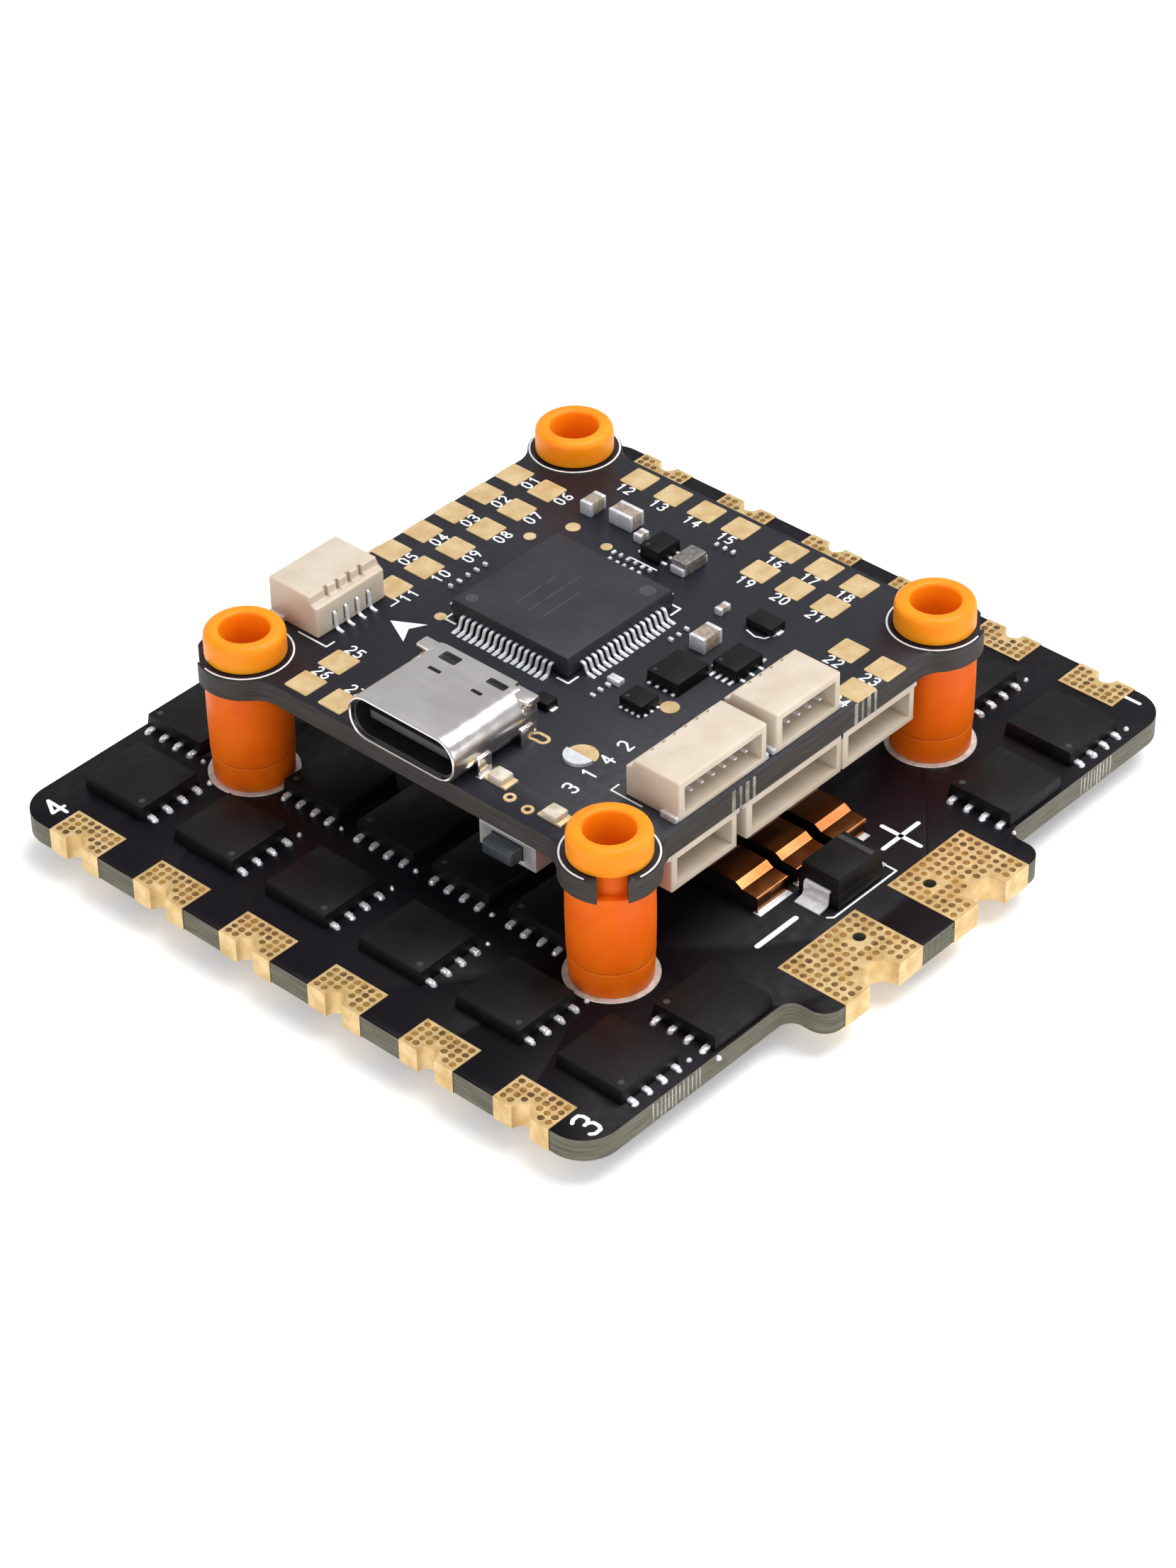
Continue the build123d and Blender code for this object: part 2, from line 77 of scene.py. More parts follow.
# ---- Table top and studio light ----
# A wide pale sheet lies under the stack. A large soft lamp hangs overhead, weaker ones stand at
# the left side and behind, and the room itself is pale.
paper = bpy.data.materials.new("pale_paper")
paper.use_nodes = True
paper_shader = paper.node_tree.nodes["Principled BSDF"]
paper_shader.inputs["Base Color"].default_value = (0.93, 0.93, 0.93, 1)
paper_shader.inputs["Roughness"].default_value = 0.9
paper_shader.inputs["Emission Color"].default_value = (1, 1, 1, 1)
paper_shader.inputs["Emission Strength"].default_value = 0.28
sheet_half = 3.0
sheet_mesh = bpy.data.meshes.new("table_top")
sheet_mesh.from_pydata([(x * sheet_half, y * sheet_half, -0.00002) for x, y in
                        ((-1, -1), (1, -1), (1, 1), (-1, 1))], [], [(0, 1, 2, 3)])
sheet_mesh.materials.append(paper)
table_top = bpy.data.objects.new("table_top", sheet_mesh)
scene.collection.objects.link(table_top)

room = bpy.data.worlds.new("pale_room")
room.use_nodes = True
room.node_tree.nodes["Background"].inputs["Color"].default_value = (0.96, 0.98, 1.0, 1)
room.node_tree.nodes["Background"].inputs["Strength"].default_value = 0.55
scene.world = room


def hang_lamp(name, place, width, watts, colour):
    lamp = bpy.data.objects.new(name, bpy.data.lights.new(name, "AREA"))
    lamp.data.shape = "DISK"
    lamp.data.size = width
    lamp.data.energy = watts
    lamp.data.color = colour
    lamp.location = place
    lamp.rotation_mode = "QUATERNION"
    lamp.rotation_quaternion = Vector(place).to_track_quat("Z", "Y")
    scene.collection.objects.link(lamp)


hang_lamp("overhead_lamp", (0.17, -0.10, 0.56), 0.48, 3.15, (1.0, 0.99, 0.97))
hang_lamp("side_lamp", (-0.50, -0.15, 0.22), 0.30, 0.7, (1.0, 0.99, 0.98))
hang_lamp("rear_lamp", (0.12, -0.55, 0.20), 0.25, 0.5, (1.0, 1.0, 1.0))

# ---- Lower board ----
# The speed controller's board is 1.6 mm glass-fibre laminate with a black solder mask on both
# faces. Its routed edge is bare, so the olive glass plies and the cutter's marks show.


def box_mm(node):
    """A CAD piece's lowest and highest corner in millimetres."""
    low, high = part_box(node)
    return low * 1000, high * 1000


def new_finish(name, colour, roughness, metallic=0.0):
    """A material with a single shader. Its evenly spread values are set on the shader itself."""
    finish = bpy.data.materials.new(name)
    finish.use_nodes = True
    shader = finish.node_tree.nodes["Principled BSDF"]
    shader.inputs["Base Color"].default_value = (*colour, 1)
    shader.inputs["Roughness"].default_value = roughness
    shader.inputs["Metallic"].default_value = metallic
    return finish


def shader_of(finish):
    return finish.node_tree.nodes["Principled BSDF"]


def grain(finish, per_mm, stretch=(1, 1, 1), detail=3.0, twist=(0, 0, 0)):
    """A noise over the piece, with so many spots to the millimetre along each axis."""
    tree = finish.node_tree
    place = tree.nodes.new("ShaderNodeTexCoord")
    fit = tree.nodes.new("ShaderNodeMapping")
    fit.inputs["Rotation"].default_value = twist
    fit.inputs["Scale"].default_value = [1000 * per_mm * s for s in stretch]
    field = tree.nodes.new("ShaderNodeTexNoise")
    field.inputs["Scale"].default_value = 1
    field.inputs["Detail"].default_value = detail
    tree.links.new(place.outputs["Object"], fit.inputs["Vector"])
    tree.links.new(fit.outputs["Vector"], field.inputs["Vector"])
    return field.outputs["Fac"]


def tint(finish, field, dark, light, low=0.35, high=0.65, socket="Base Color"):
    """Colours a shader socket from dark to light by a noise."""
    tree = finish.node_tree
    ramp = tree.nodes.new("ShaderNodeValToRGB")
    ramp.color_ramp.elements[0].position = low
    ramp.color_ramp.elements[0].color = (*dark, 1)
    ramp.color_ramp.elements[1].position = high
    ramp.color_ramp.elements[1].color = (*light, 1)
    tree.links.new(field, ramp.inputs["Fac"])
    tree.links.new(ramp.outputs["Color"], shader_of(finish).inputs[socket])
    return ramp


def uneven_gloss(finish, field, smooth, rough):
    tree = finish.node_tree
    spread = tree.nodes.new("ShaderNodeMapRange")
    spread.inputs["From Min"].default_value = 0.3
    spread.inputs["From Max"].default_value = 0.7
    spread.inputs["To Min"].default_value = smooth
    spread.inputs["To Max"].default_value = rough
    tree.links.new(field, spread.inputs["Value"])
    tree.links.new(spread.outputs["Result"], shader_of(finish).inputs["Roughness"])


def relief(finish, field, height_mm, strength=1.0):
    """Raises the surface by a noise. A second relief is laid over the first."""
    tree = finish.node_tree
    bump = tree.nodes.new("ShaderNodeBump")
    bump.inputs["Strength"].default_value = strength
    bump.inputs["Distance"].default_value = height_mm / 1000
    normal = shader_of(finish).inputs["Normal"]
    if normal.is_linked:
        tree.links.new(normal.links[0].from_socket, bump.inputs["Normal"])
    tree.links.new(field, bump.inputs["Height"])
    tree.links.new(bump.outputs["Normal"], normal)


def board_mask(name, dark, light, trace_seed, gloss):
    """Black solder mask over copper: patches of fine parallel traces stand just proud."""
    finish = new_finish(name, dark, 0.45)
    shader_of(finish).inputs["Specular IOR Level"].default_value = gloss
    tint(finish, grain(finish, 0.12, detail=2), dark, light)
    uneven_gloss(finish, grain(finish, 1.5), 0.38, 0.52)
    tree = finish.node_tree
    place = tree.nodes.new("ShaderNodeTexCoord")
    patches = tree.nodes.new("ShaderNodeTexVoronoi")
    patches.distance = "CHEBYCHEV"
    patches.inputs["Scale"].default_value = 160 + trace_seed
    traces = []
    for direction in ("X", "Y"):
        wave = tree.nodes.new("ShaderNodeTexWave")
        wave.bands_direction = direction
        wave.inputs["Scale"].default_value = 560
        tree.links.new(place.outputs["Object"], wave.inputs["Vector"])
        traces.append(wave.outputs["Fac"])
    pick = tree.nodes.new("ShaderNodeMix")
    pick.data_type = "FLOAT"
    cell = tree.nodes.new("ShaderNodeSeparateColor")
    tree.links.new(place.outputs["Object"], patches.inputs["Vector"])
    tree.links.new(patches.outputs["Color"], cell.inputs["Color"])
    step = tree.nodes.new("ShaderNodeMath")
    step.operation = "GREATER_THAN"
    step.inputs[1].default_value = 0.5
    tree.links.new(cell.outputs["Red"], step.inputs[0])
    tree.links.new(step.outputs["Value"], pick.inputs["Factor"])
    tree.links.new(traces[0], pick.inputs["A"])
    tree.links.new(traces[1], pick.inputs["B"])
    relief(finish, pick.outputs["Result"], 0.004, 0.25)
    relief(finish, grain(finish, 9), 0.004, 0.5)
    return finish


def laminate_edge(name, resin, glass):
    """The routed edge: thin glass plies one above another, with upright cutter marks."""
    finish = new_finish(name, resin, 0.6)
    tint(finish, grain(finish, 0.9, (0.5, 0.5, 9), 4), resin, glass, 0.3, 0.7)
    relief(finish, grain(finish, 6, (1, 1, 0.05), 3), 0.03, 0.6)
    relief(finish, grain(finish, 1.2, (0.4, 0.4, 9), 2), 0.012, 0.5)
    return finish


def cad_shell(node, flat=0.5):
    """A CAD piece's surface as one sealed shell, with faces joined up that are flat to an angle."""
    shape = bmesh.new()
    shape.from_mesh(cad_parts[node].data)
    bmesh.ops.scale(shape, vec=(1000, 1000, 1000), verts=shape.verts)
    bmesh.ops.remove_doubles(shape, verts=shape.verts, dist=0.002)
    upright = [e for e in shape.edges if e.calc_face_angle(0) < 0.01
               and abs(e.link_faces[0].normal.z) < 0.5]
    bmesh.ops.dissolve_limit(shape, angle_limit=math.radians(flat), verts=shape.verts,
                             edges=shape.edges if flat > 0.1 else upright)
    return shape


def soften(shape, radius, edges=None, steps=1):
    """Rounds the sharp edges of a shape, or the edges that are given."""
    if edges is None:
        edges = [e for e in shape.edges if len(e.link_faces) == 2 and e.calc_face_angle(0) > 0.6]
    bmesh.ops.bevel(shape, geom=edges, offset=radius, segments=steps, profile=0.5,
                    affect="EDGES", clamp_overlap=True)


def board_shape(node, edge_break=0.05):
    """A circuit board: face 0 is masked, face 1 is the bare edge."""
    shape = cad_shell(node, flat=0.001)
    rim = [e for e in shape.edges if len(e.link_faces) == 2 and e.calc_face_angle(0) > 0.9
           and abs(e.verts[0].co.z - e.verts[1].co.z) < 1e-3]
    soften(shape, edge_break, rim)
    bmesh.ops.recalc_face_normals(shape, faces=shape.faces)
    for face in shape.faces:
        face.material_index = 0 if abs(face.normal.z) > 0.4 else 1
    return shape


def plain_mesh(shape, name, crease=35):
    """Turns a shape drawn in millimetres into a mesh in metres, smooth but for its creases."""
    bmesh.ops.recalc_face_normals(shape, faces=shape.faces)
    bmesh.ops.scale(shape, vec=(0.001, 0.001, 0.001), verts=shape.verts)
    mesh = bpy.data.meshes.new(name)
    shape.to_mesh(mesh)
    shape.free()
    mesh.shade_smooth()
    mesh.set_sharp_from_angle(angle=math.radians(crease))
    return mesh


def loose_object(name, mesh):
    thing = bpy.data.objects.new(name, mesh)
    scene.collection.objects.link(thing)
    return thing


def add_piece(name, shape, finishes, nodes=(), body="stack", crease=35):
    """Puts a drawn shape in place as a finished piece that rides on a body."""
    mesh = plain_mesh(shape, name, crease)
    for finish in finishes:
        mesh.materials.append(finish)
    return ride_mesh(name, mesh, nodes, body)


def ride_mesh(name, mesh, nodes=(), body="stack"):
    """A finished mesh as a piece on a body, standing in for CAD nodes."""
    piece = loose_object(name, mesh)
    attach(piece, body)
    if nodes:
        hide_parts(*nodes)
    return piece


esc_low, esc_high = box_mm("esc_board")
esc_top = esc_high.z
esc_mask = board_mask("esc_black_mask", (0.0032, 0.0023, 0.0040), (0.0060, 0.0044, 0.0072), 0, 0.12)
esc_laminate = laminate_edge("esc_laminate_edge", (0.060, 0.054, 0.032), (0.150, 0.140, 0.098))
add_piece("lower_board", board_shape("esc_board"), [esc_mask, esc_laminate],
          ["esc_board"])

# ---- Motor and battery pads ----
# Gold-plated copper wraps the board's edge where the thick wires are soldered. Each pad is
# full of small filled holes, so its face is a gold lattice with brown resin in the meshes.


def marks_object(marks):
    """One point for each place, with the turn and size that a copy has there."""
    mesh = bpy.data.meshes.new("marks")
    mesh.from_pydata([[c / 1000 for c in mark["at"]] for mark in marks], [], [])
    turns = mesh.attributes.new("turn", "FLOAT_VECTOR", "POINT")
    sizes = mesh.attributes.new("size", "FLOAT_VECTOR", "POINT")
    for i, mark in enumerate(marks):
        turns.data[i].vector = [math.radians(a) for a in mark.get("turn", (0, 0, 0))]
        sizes.data[i].vector = mark.get("size", (1, 1, 1))
    return loose_object("marks", mesh)


def tree_with_inputs(name, inputs):
    tree = bpy.data.node_groups.new(name, "GeometryNodeTree")
    tree.interface.new_socket("Geometry", in_out="INPUT", socket_type="NodeSocketGeometry")
    for label, kind in inputs:
        tree.interface.new_socket(label, in_out="INPUT", socket_type="NodeSocket" + kind)
    tree.interface.new_socket("Geometry", in_out="OUTPUT", socket_type="NodeSocketGeometry")
    return tree, tree.nodes.new("NodeGroupInput"), tree.nodes.new("NodeGroupOutput")


def grown_mesh(thing, tree, values):
    """Runs a node tree on an object with the named values and returns its plain mesh."""
    modifier = thing.modifiers.new("grow", "NODES")
    modifier.node_group = tree
    sockets = {s.name: s.identifier for s in tree.interface.items_tree
               if s.item_type == "SOCKET" and s.in_out == "INPUT"}
    for label, value in values.items():
        modifier[sockets[label]] = value
    bpy.context.view_layer.update()
    ready = thing.evaluated_get(bpy.context.evaluated_depsgraph_get())
    mesh = bpy.data.meshes.new_from_object(ready)
    thing.modifiers.remove(modifier)
    mesh.shade_smooth()
    mesh.set_sharp_from_angle(angle=math.radians(30))
    return mesh


def discard(*things):
    for thing in things:
        bpy.data.objects.remove(thing)


def instances(tree, source, shape, marks):
    """Nodes that set a shape on every mark, with its turn, its size and a small spread."""
    nodes, links = tree.nodes, tree.links
    put = nodes.new("GeometryNodeInstanceOnPoints")
    kept = []
    for name in ("turn", "size"):
        stored = nodes.new("GeometryNodeInputNamedAttribute")
        stored.data_type = "FLOAT_VECTOR"
        stored.inputs["Name"].default_value = name
        kept.append(stored.outputs["Attribute"])
    shake = nodes.new("FunctionNodeRandomValue")
    upright = nodes.new("ShaderNodeCombineXYZ")
    scatter = nodes.new("FunctionNodeRandomValue")
    scatter.data_type = "FLOAT_VECTOR"
    low, high, down = [nodes.new("ShaderNodeMath") for _ in range(3)]
    low.operation, high.operation, down.operation = "SUBTRACT", "ADD", "MULTIPLY"
    for calc, end in ((low, "Min"), (high, "Max")):
        calc.inputs[0].default_value = 1
        links.new(source.outputs["Size spread"], calc.inputs[1])
        links.new(calc.outputs[0], scatter.inputs[end])
    down.inputs[1].default_value = -1
    links.new(source.outputs["Turn spread"], down.inputs[0])
    shake_low, shake_high = [i for i in shake.inputs
                             if i.type == "VALUE" and i.name in ("Min", "Max")]
    links.new(down.outputs[0], shake_low)
    links.new(source.outputs["Turn spread"], shake_high)
    links.new([o for o in shake.outputs if o.type == "VALUE"][0], upright.inputs["Z"])
    for random in (scatter, shake):
        links.new(source.outputs["Seed"], random.inputs["Seed"])
    add, times = nodes.new("ShaderNodeVectorMath"), nodes.new("ShaderNodeVectorMath")
    add.operation, times.operation = "ADD", "MULTIPLY"
    for mix, first, second in ((add, kept[0], upright.outputs["Vector"]),
                               (times, kept[1], scatter.outputs["Value"])):
        links.new(first, mix.inputs[0])
        links.new(second, mix.inputs[1])
    to_rotation = nodes.new("FunctionNodeEulerToRotation")
    links.new(add.outputs[0], to_rotation.inputs["Euler"])
    links.new(to_rotation.outputs["Rotation"], put.inputs["Rotation"])
    links.new(times.outputs[0], put.inputs["Scale"])
    links.new(marks, put.inputs["Points"])
    links.new(shape, put.inputs["Instance"])
    realize = nodes.new("GeometryNodeRealizeInstances")
    links.new(put.outputs["Instances"], realize.inputs["Geometry"])
    return realize.outputs["Geometry"]


def end_tree(tree, result, source, sink):
    paint = tree.nodes.new("GeometryNodeSetMaterial")
    tree.links.new(source.outputs["Finish"], paint.inputs["Material"])
    tree.links.new(result, paint.inputs["Geometry"])
    tree.links.new(paint.outputs["Geometry"], sink.inputs["Geometry"])


lattice_tree, lattice_in, lattice_out = tree_with_inputs(
    "pierced_plating", [("Cutter", "Object"), ("Cells", "Object"), ("Size spread", "Float"),
                        ("Turn spread", "Float"), ("Seed", "Int"), ("Finish", "Material")])
cutter_info = lattice_tree.nodes.new("GeometryNodeObjectInfo")
cells_info = lattice_tree.nodes.new("GeometryNodeObjectInfo")
lattice_tree.links.new(lattice_in.outputs["Cutter"], cutter_info.inputs["Object"])
lattice_tree.links.new(lattice_in.outputs["Cells"], cells_info.inputs["Object"])
pierce = lattice_tree.nodes.new("GeometryNodeMeshBoolean")
pierce.operation = "DIFFERENCE"
pierce.solver = "EXACT"
lattice_tree.links.new(lattice_in.outputs["Geometry"], pierce.inputs["Mesh 1"])
lattice_tree.links.new(instances(lattice_tree, lattice_in, cutter_info.outputs["Geometry"],
                                 cells_info.outputs["Geometry"]), pierce.inputs["Mesh 2"])
lattice_sealed = lattice_tree.nodes.new("GeometryNodeRealizeInstances")
lattice_tree.links.new(pierce.outputs["Mesh"], lattice_sealed.inputs["Geometry"])
end_tree(lattice_tree, lattice_sealed.outputs["Geometry"], lattice_in, lattice_out)

copies_tree, copies_in, copies_out = tree_with_inputs(
    "copies_on_marks", [("Shape", "Object"), ("Size spread", "Float"), ("Turn spread", "Float"),
                        ("Seed", "Int"), ("Finish", "Material")])
shape_info = copies_tree.nodes.new("GeometryNodeObjectInfo")
copies_tree.links.new(copies_in.outputs["Shape"], shape_info.inputs["Object"])
end_tree(copies_tree, instances(copies_tree, copies_in, shape_info.outputs["Geometry"],
                                copies_in.outputs["Geometry"]), copies_in, copies_out)


def pierced(name, shape, cutter, cells, finish, size_spread=0.0, turn_spread=0.0, seed=1):
    """Cuts the cutter out of a shape at every cell."""
    whole = loose_object("whole", plain_mesh(shape, "whole"))
    mesh = grown_mesh(whole, lattice_tree, {
        "Cutter": cutter, "Cells": cells, "Size spread": size_spread, "Turn spread": turn_spread,
        "Seed": seed, "Finish": finish})
    mesh.name = name
    discard(whole)
    return mesh


def stamp(name, shape, marks, finish, nodes=(), size_spread=0.0, turn_spread=0.0, seed=1):
    """Sets a copy of a small shape on every mark and joins them into one piece."""
    pattern = loose_object("pattern", plain_mesh(shape, "pattern"))
    points = marks_object(marks)
    mesh = grown_mesh(points, copies_tree, {
        "Shape": pattern, "Size spread": size_spread, "Turn spread": turn_spread, "Seed": seed,
        "Finish": finish})
    mesh.name = name
    discard(pattern, points)
    return ride_mesh(name, mesh, nodes)


def loft(shape, rims, ends=True, finish=0):
    """Skins a row of outlines. Its ends are closed or, without ends, joined to each other."""
    rings = [[shape.verts.new(point) for point in rim] for rim in rims]
    faces = [shape.faces.new(reversed(rings[0])), shape.faces.new(rings[-1])] if ends else []
    for near, far in zip(rings, rings[1:] if ends else rings[1:] + rings[:1]):
        count = len(near)
        faces += [shape.faces.new((near[i], near[(i + 1) % count], far[(i + 1) % count], far[i]))
                  for i in range(count)]
    for face in faces:
        face.material_index = finish


def prism(shape, x, y, low, high, radius, sides=8, turn=0.0, top=None, finish=0):
    """An upright prism or, with another radius on top, a tapered one."""
    angles = [turn + math.tau * i / sides for i in range(sides)]
    loft(shape, [[(x + r * math.cos(a), y + r * math.sin(a), z) for a in angles]
                 for z, r in ((low, radius), (high, radius if top is None else top))],
         finish=finish)


board_side = 28.1
plating = 0.05
via_half = 0.215
via_inset = 0.42
motor_pad_pitch, motor_notch = 7.6, 0.76
motor_pad_centres = [18.5 - motor_pad_pitch * i - 0.25 for i in range(6)]
motor_via_row_step, motor_via_pitch = 0.54, 0.62 * 0.96
battery_pads = ((-4.85, -3.05), (5.55, 3.75))
battery_notch, battery_hole, battery_hole_y = 1.42, 0.42, -24.4
battery_via_row_step, battery_via_pitch = 0.64, 0.645
battery_front = esc_low.y + 5.25 + plating


def via_cells():
    """Places of the small filled holes, clear of each pad's rim, notch and big hole."""
    cells = []
    for side in (-1, 1):
        edge = side * board_side
        for centre in motor_pad_centres:
            for row in range(4):
                for col in range(7):
                    x = edge - side * (via_inset + row * motor_via_row_step)
                    y = centre + (col - 3) * motor_via_pitch
                    if math.hypot(x - edge, y - centre) > motor_notch + 0.24:
                        cells.append((x, y))
    for centre, hole in battery_pads:
        for row in range(8):
            for col in range(11):
                x = centre + (col - 5) * battery_via_pitch
                y = battery_front - via_inset - row * battery_via_row_step
                if (math.hypot(x - centre, y - esc_low.y) > battery_notch + 0.26
                        and math.hypot(x - hole, y - battery_hole_y) > battery_hole + 0.3
                        and y > esc_low.y + 0.35):
                    cells.append((x, y))
    return cells


gold = new_finish("pad_gold", (0.69, 0.48, 0.21), 0.42, 0.55)
tint(gold, grain(gold, 0.9), (0.60, 0.40, 0.155), (0.78, 0.575, 0.295))
uneven_gloss(gold, grain(gold, 3.0), 0.34, 0.52)
relief(gold, grain(gold, 5.0), 0.008, 0.5)
relief(gold, grain(gold, 1.1), 0.03, 0.3)
resin = new_finish("via_resin", (0.18, 0.085, 0.012), 0.5)
tint(resin, grain(resin, 1.3, detail=2), (0.075, 0.032, 0.005), (0.33, 0.165, 0.026))
relief(resin, grain(resin, 8), 0.01)

pad_top = esc_top + plating
cells = via_cells()
cutter = bmesh.new()
prism(cutter, 0, 0, -0.2, 0.03, via_half, 7, 0.4, via_half * 1.12)
cutter_thing = loose_object("cutter", plain_mesh(cutter, "cutter"))
cells_thing = marks_object([{"at": (x, y, pad_top)} for x, y in cells])
for name, node in (("motor_wire_pads", "motor_pads"), ("battery_wire_pads", "battery_pads")):
    lattice = pierced(name, cad_shell(node), cutter_thing, cells_thing, gold, 0.1, 0.5, 3)
    for face in lattice.polygons:
        face.use_smooth = abs(face.normal.z) < 0.5
    ride_mesh(name, lattice, [node])
discard(cutter_thing, cells_thing)
plug = bmesh.new()
prism(plug, 0, 0, -0.045, -0.012, via_half * 1.3, 8, 0, via_half * 1.15)
stamp("via_resin_plugs", plug, [{"at": (x, y, pad_top - 0.004)} for x, y in cells],
      resin)

# ---- Print on the lower board ----
# White epoxy ink marks the battery polarity, the outline of the clamping diode and the four
# motor outputs by number.


def ink_stroke(shape, start, end, width, level, thick=0.02, finish=0):
    """A straight line of ink with round ends."""
    a, b = Vector((*start, 0)), Vector((*end, 0))
    along = (b - a).normalized()
    across = Vector((-along.y, along.x, 0)) * width / 2
    rim = []
    for centre, turn in ((b, -90), (a, 90)):
        for i in range(5):
            spin = Matrix.Rotation(math.radians(turn + 45 * i), 3, "Z")
            rim.append(centre + spin @ along * (width / 2))
    loft(shape, [[(p.x, p.y, z) for p in rim] for z in (level, level + thick)], finish=finish)


def ink_path(shape, points, width, level):
    for i, (start, end) in enumerate(zip(points, points[1:])):
        ink_stroke(shape, start, end, width, level, 0.02 + 0.004 * (i % 3))


pen_strokes = {
    "0": [(15, 0, 0, 20, 0, 80, 15, 100, 35, 100, 50, 80, 50, 20, 35, 0, 15, 0)],
    "1": [(10, 80, 30, 100, 30, 0)],
    "2": [(0, 85, 15, 100, 40, 100, 50, 80, 50, 60, 0, 0, 50, 0)],
    "3": [(0, 90, 15, 100, 40, 100, 50, 85, 50, 65, 35, 53, 20, 53),
          (35, 53, 50, 40, 50, 15, 40, 0, 12, 0, 0, 12)],
    "4": [(38, 0, 38, 100, 0, 33, 55, 33)],
    "5": [(48, 100, 5, 100, 0, 55, 35, 60, 50, 40, 50, 15, 35, 0, 0, 5)],
    "6": [(45, 100, 15, 85, 0, 40, 0, 12, 15, 0, 40, 0, 50, 20, 50, 40, 35, 53, 0, 40)],
    "7": [(0, 100, 50, 100, 15, 0)],
    "8": [(25, 53, 5, 65, 5, 88, 25, 100, 45, 88, 45, 65, 25, 53,
           0, 38, 0, 12, 20, 0, 35, 0, 50, 12, 50, 38, 25, 53)],
    "9": [(50, 60, 35, 47, 12, 47, 0, 65, 0, 85, 15, 100, 35, 100, 50, 85, 50, 50, 30, 0)],
}


def ink_figure(shape, figure, x, y, height, level, turn=0.0, width=0.2):
    """Draws a figure from pen strokes, given as x and y in hundredths of its height."""
    spin = Matrix.Rotation(turn, 2)
    for stroke in pen_strokes[figure]:
        placed = [Vector((x, y)) + spin @ (Vector((u / 100 - 0.25, v / 100 - 0.5)) * height)
                  for u, v in zip(stroke[::2], stroke[1::2])]
        ink_path(shape, placed, width, level)


white_ink = new_finish("white_ink", (0.80, 0.83, 0.86), 0.55)
tint(white_ink, grain(white_ink, 6), (0.62, 0.66, 0.70), (0.88, 0.90, 0.92), 0.25, 0.6)
relief(white_ink, grain(white_ink, 12), 0.01)
ink = bmesh.new()
level = esc_top - 0.004
ink_stroke(ink, (4.55, -20.1), (8.0, -20.1), 0.33, level)
ink_stroke(ink, (6.28, -21.65), (6.28, -18.6), 0.33, level)
ink_stroke(ink, (-7.75, -20.33), (-4.15, -20.33), 0.38, level)
ink_path(ink, [(-2.9, -21.75), (-2.6, -22.06), (3.4, -22.06), (3.4, -21.3)], 0.14, level)
for figure, x, y in (("1", 27.0, -22.2), ("4", -26.45, 21.8), ("3", -26.4, -23.3),
                     ("2", 26.3, 21.8)):
    ink_figure(ink, figure, x, y, 1.75, level, 0.0, 0.26)
add_piece("lower_board_print", ink, [white_ink])

# ---- Power transistors ----
# Twenty-four flat moulded packages switch the motor current. Each has four tinned leads along
# one side, held by bright beads of solder, and a drain tab along the other.


def brick(shape, x, y, z, soft=0.0, finish=0, steps=2, draft=0.0):
    """A block with rounded edges between two values on each axis. Draft makes its top smaller."""
    made = bmesh.ops.create_cube(shape, size=1.0)["verts"]
    for vert in made:
        lean = draft if vert.co.z > 0 else 0
        vert.co = Vector(((x[0] + x[1]) / 2 + vert.co.x * (x[1] - x[0] - 2 * lean),
                          (y[0] + y[1]) / 2 + vert.co.y * (y[1] - y[0] - 2 * lean),
                          z[1] if vert.co.z > 0 else z[0]))
    faces = {f for v in made for f in v.link_faces}
    for face in faces:
        face.material_index = finish
    if soft:
        soften(shape, soft, list({e for f in faces for e in f.edges}), steps)


def block(shape, x, y, half_x, half_y, z, soft=0.0, finish=0, steps=2, draft=0.0):
    """A block about an upright axis, between two heights."""
    brick(shape, (x - half_x, x + half_x), (y - half_y, y + half_y), z, soft, finish, steps, draft)


def bead(shape, radius, height, sides=8):
    """A low round drop of solder standing on z = 0."""
    rings = []
    for lift, share in ((-0.02, 1.0), (0.45 * height, 0.86), (0.85 * height, 0.5)):
        rings.append([shape.verts.new((radius * share * math.cos(math.tau * i / sides),
                                       radius * share * math.sin(math.tau * i / sides), lift))
                      for i in range(sides)])
    tip = shape.verts.new((0, 0, height))
    shape.faces.new(reversed(rings[0]))
    for low, high in zip(rings, rings[1:]):
        for i in range(sides):
            shape.faces.new((low[i], low[(i + 1) % sides], high[(i + 1) % sides], high[i]))
    for i in range(sides):
        shape.faces.new((rings[-1][i], rings[-1][(i + 1) % sides], tip))


black_mould = new_finish("black_moulding", (0.0048, 0.0043, 0.0048), 0.5)
shader_of(black_mould).inputs["Specular IOR Level"].default_value = 0.2
tint(black_mould, grain(black_mould, 0.5, detail=5), (0.0028, 0.0023, 0.0027),
     (0.0060, 0.0050, 0.0056))
uneven_gloss(black_mould, grain(black_mould, 1.2, detail=5), 0.42, 0.62)
relief(black_mould, grain(black_mould, 14), 0.008, 0.6)
relief(black_mould, grain(black_mould, 1.6, (1, 0.12, 1), 4, (0, 0, 0.5)), 0.006, 0.5)
laser_grey = new_finish("laser_mark", (0.030, 0.029, 0.031), 0.7)
tint(laser_grey, grain(laser_grey, 10), (0.018, 0.017, 0.018), (0.045, 0.043, 0.046))
bright_tin = new_finish("bright_tin", (0.82, 0.85, 0.90), 0.3, 0.5)
tint(bright_tin, grain(bright_tin, 2.5), (0.76, 0.79, 0.84), (0.93, 0.95, 0.98))
uneven_gloss(bright_tin, grain(bright_tin, 3), 0.24, 0.38)
relief(bright_tin, grain(bright_tin, 4), 0.008, 0.4)

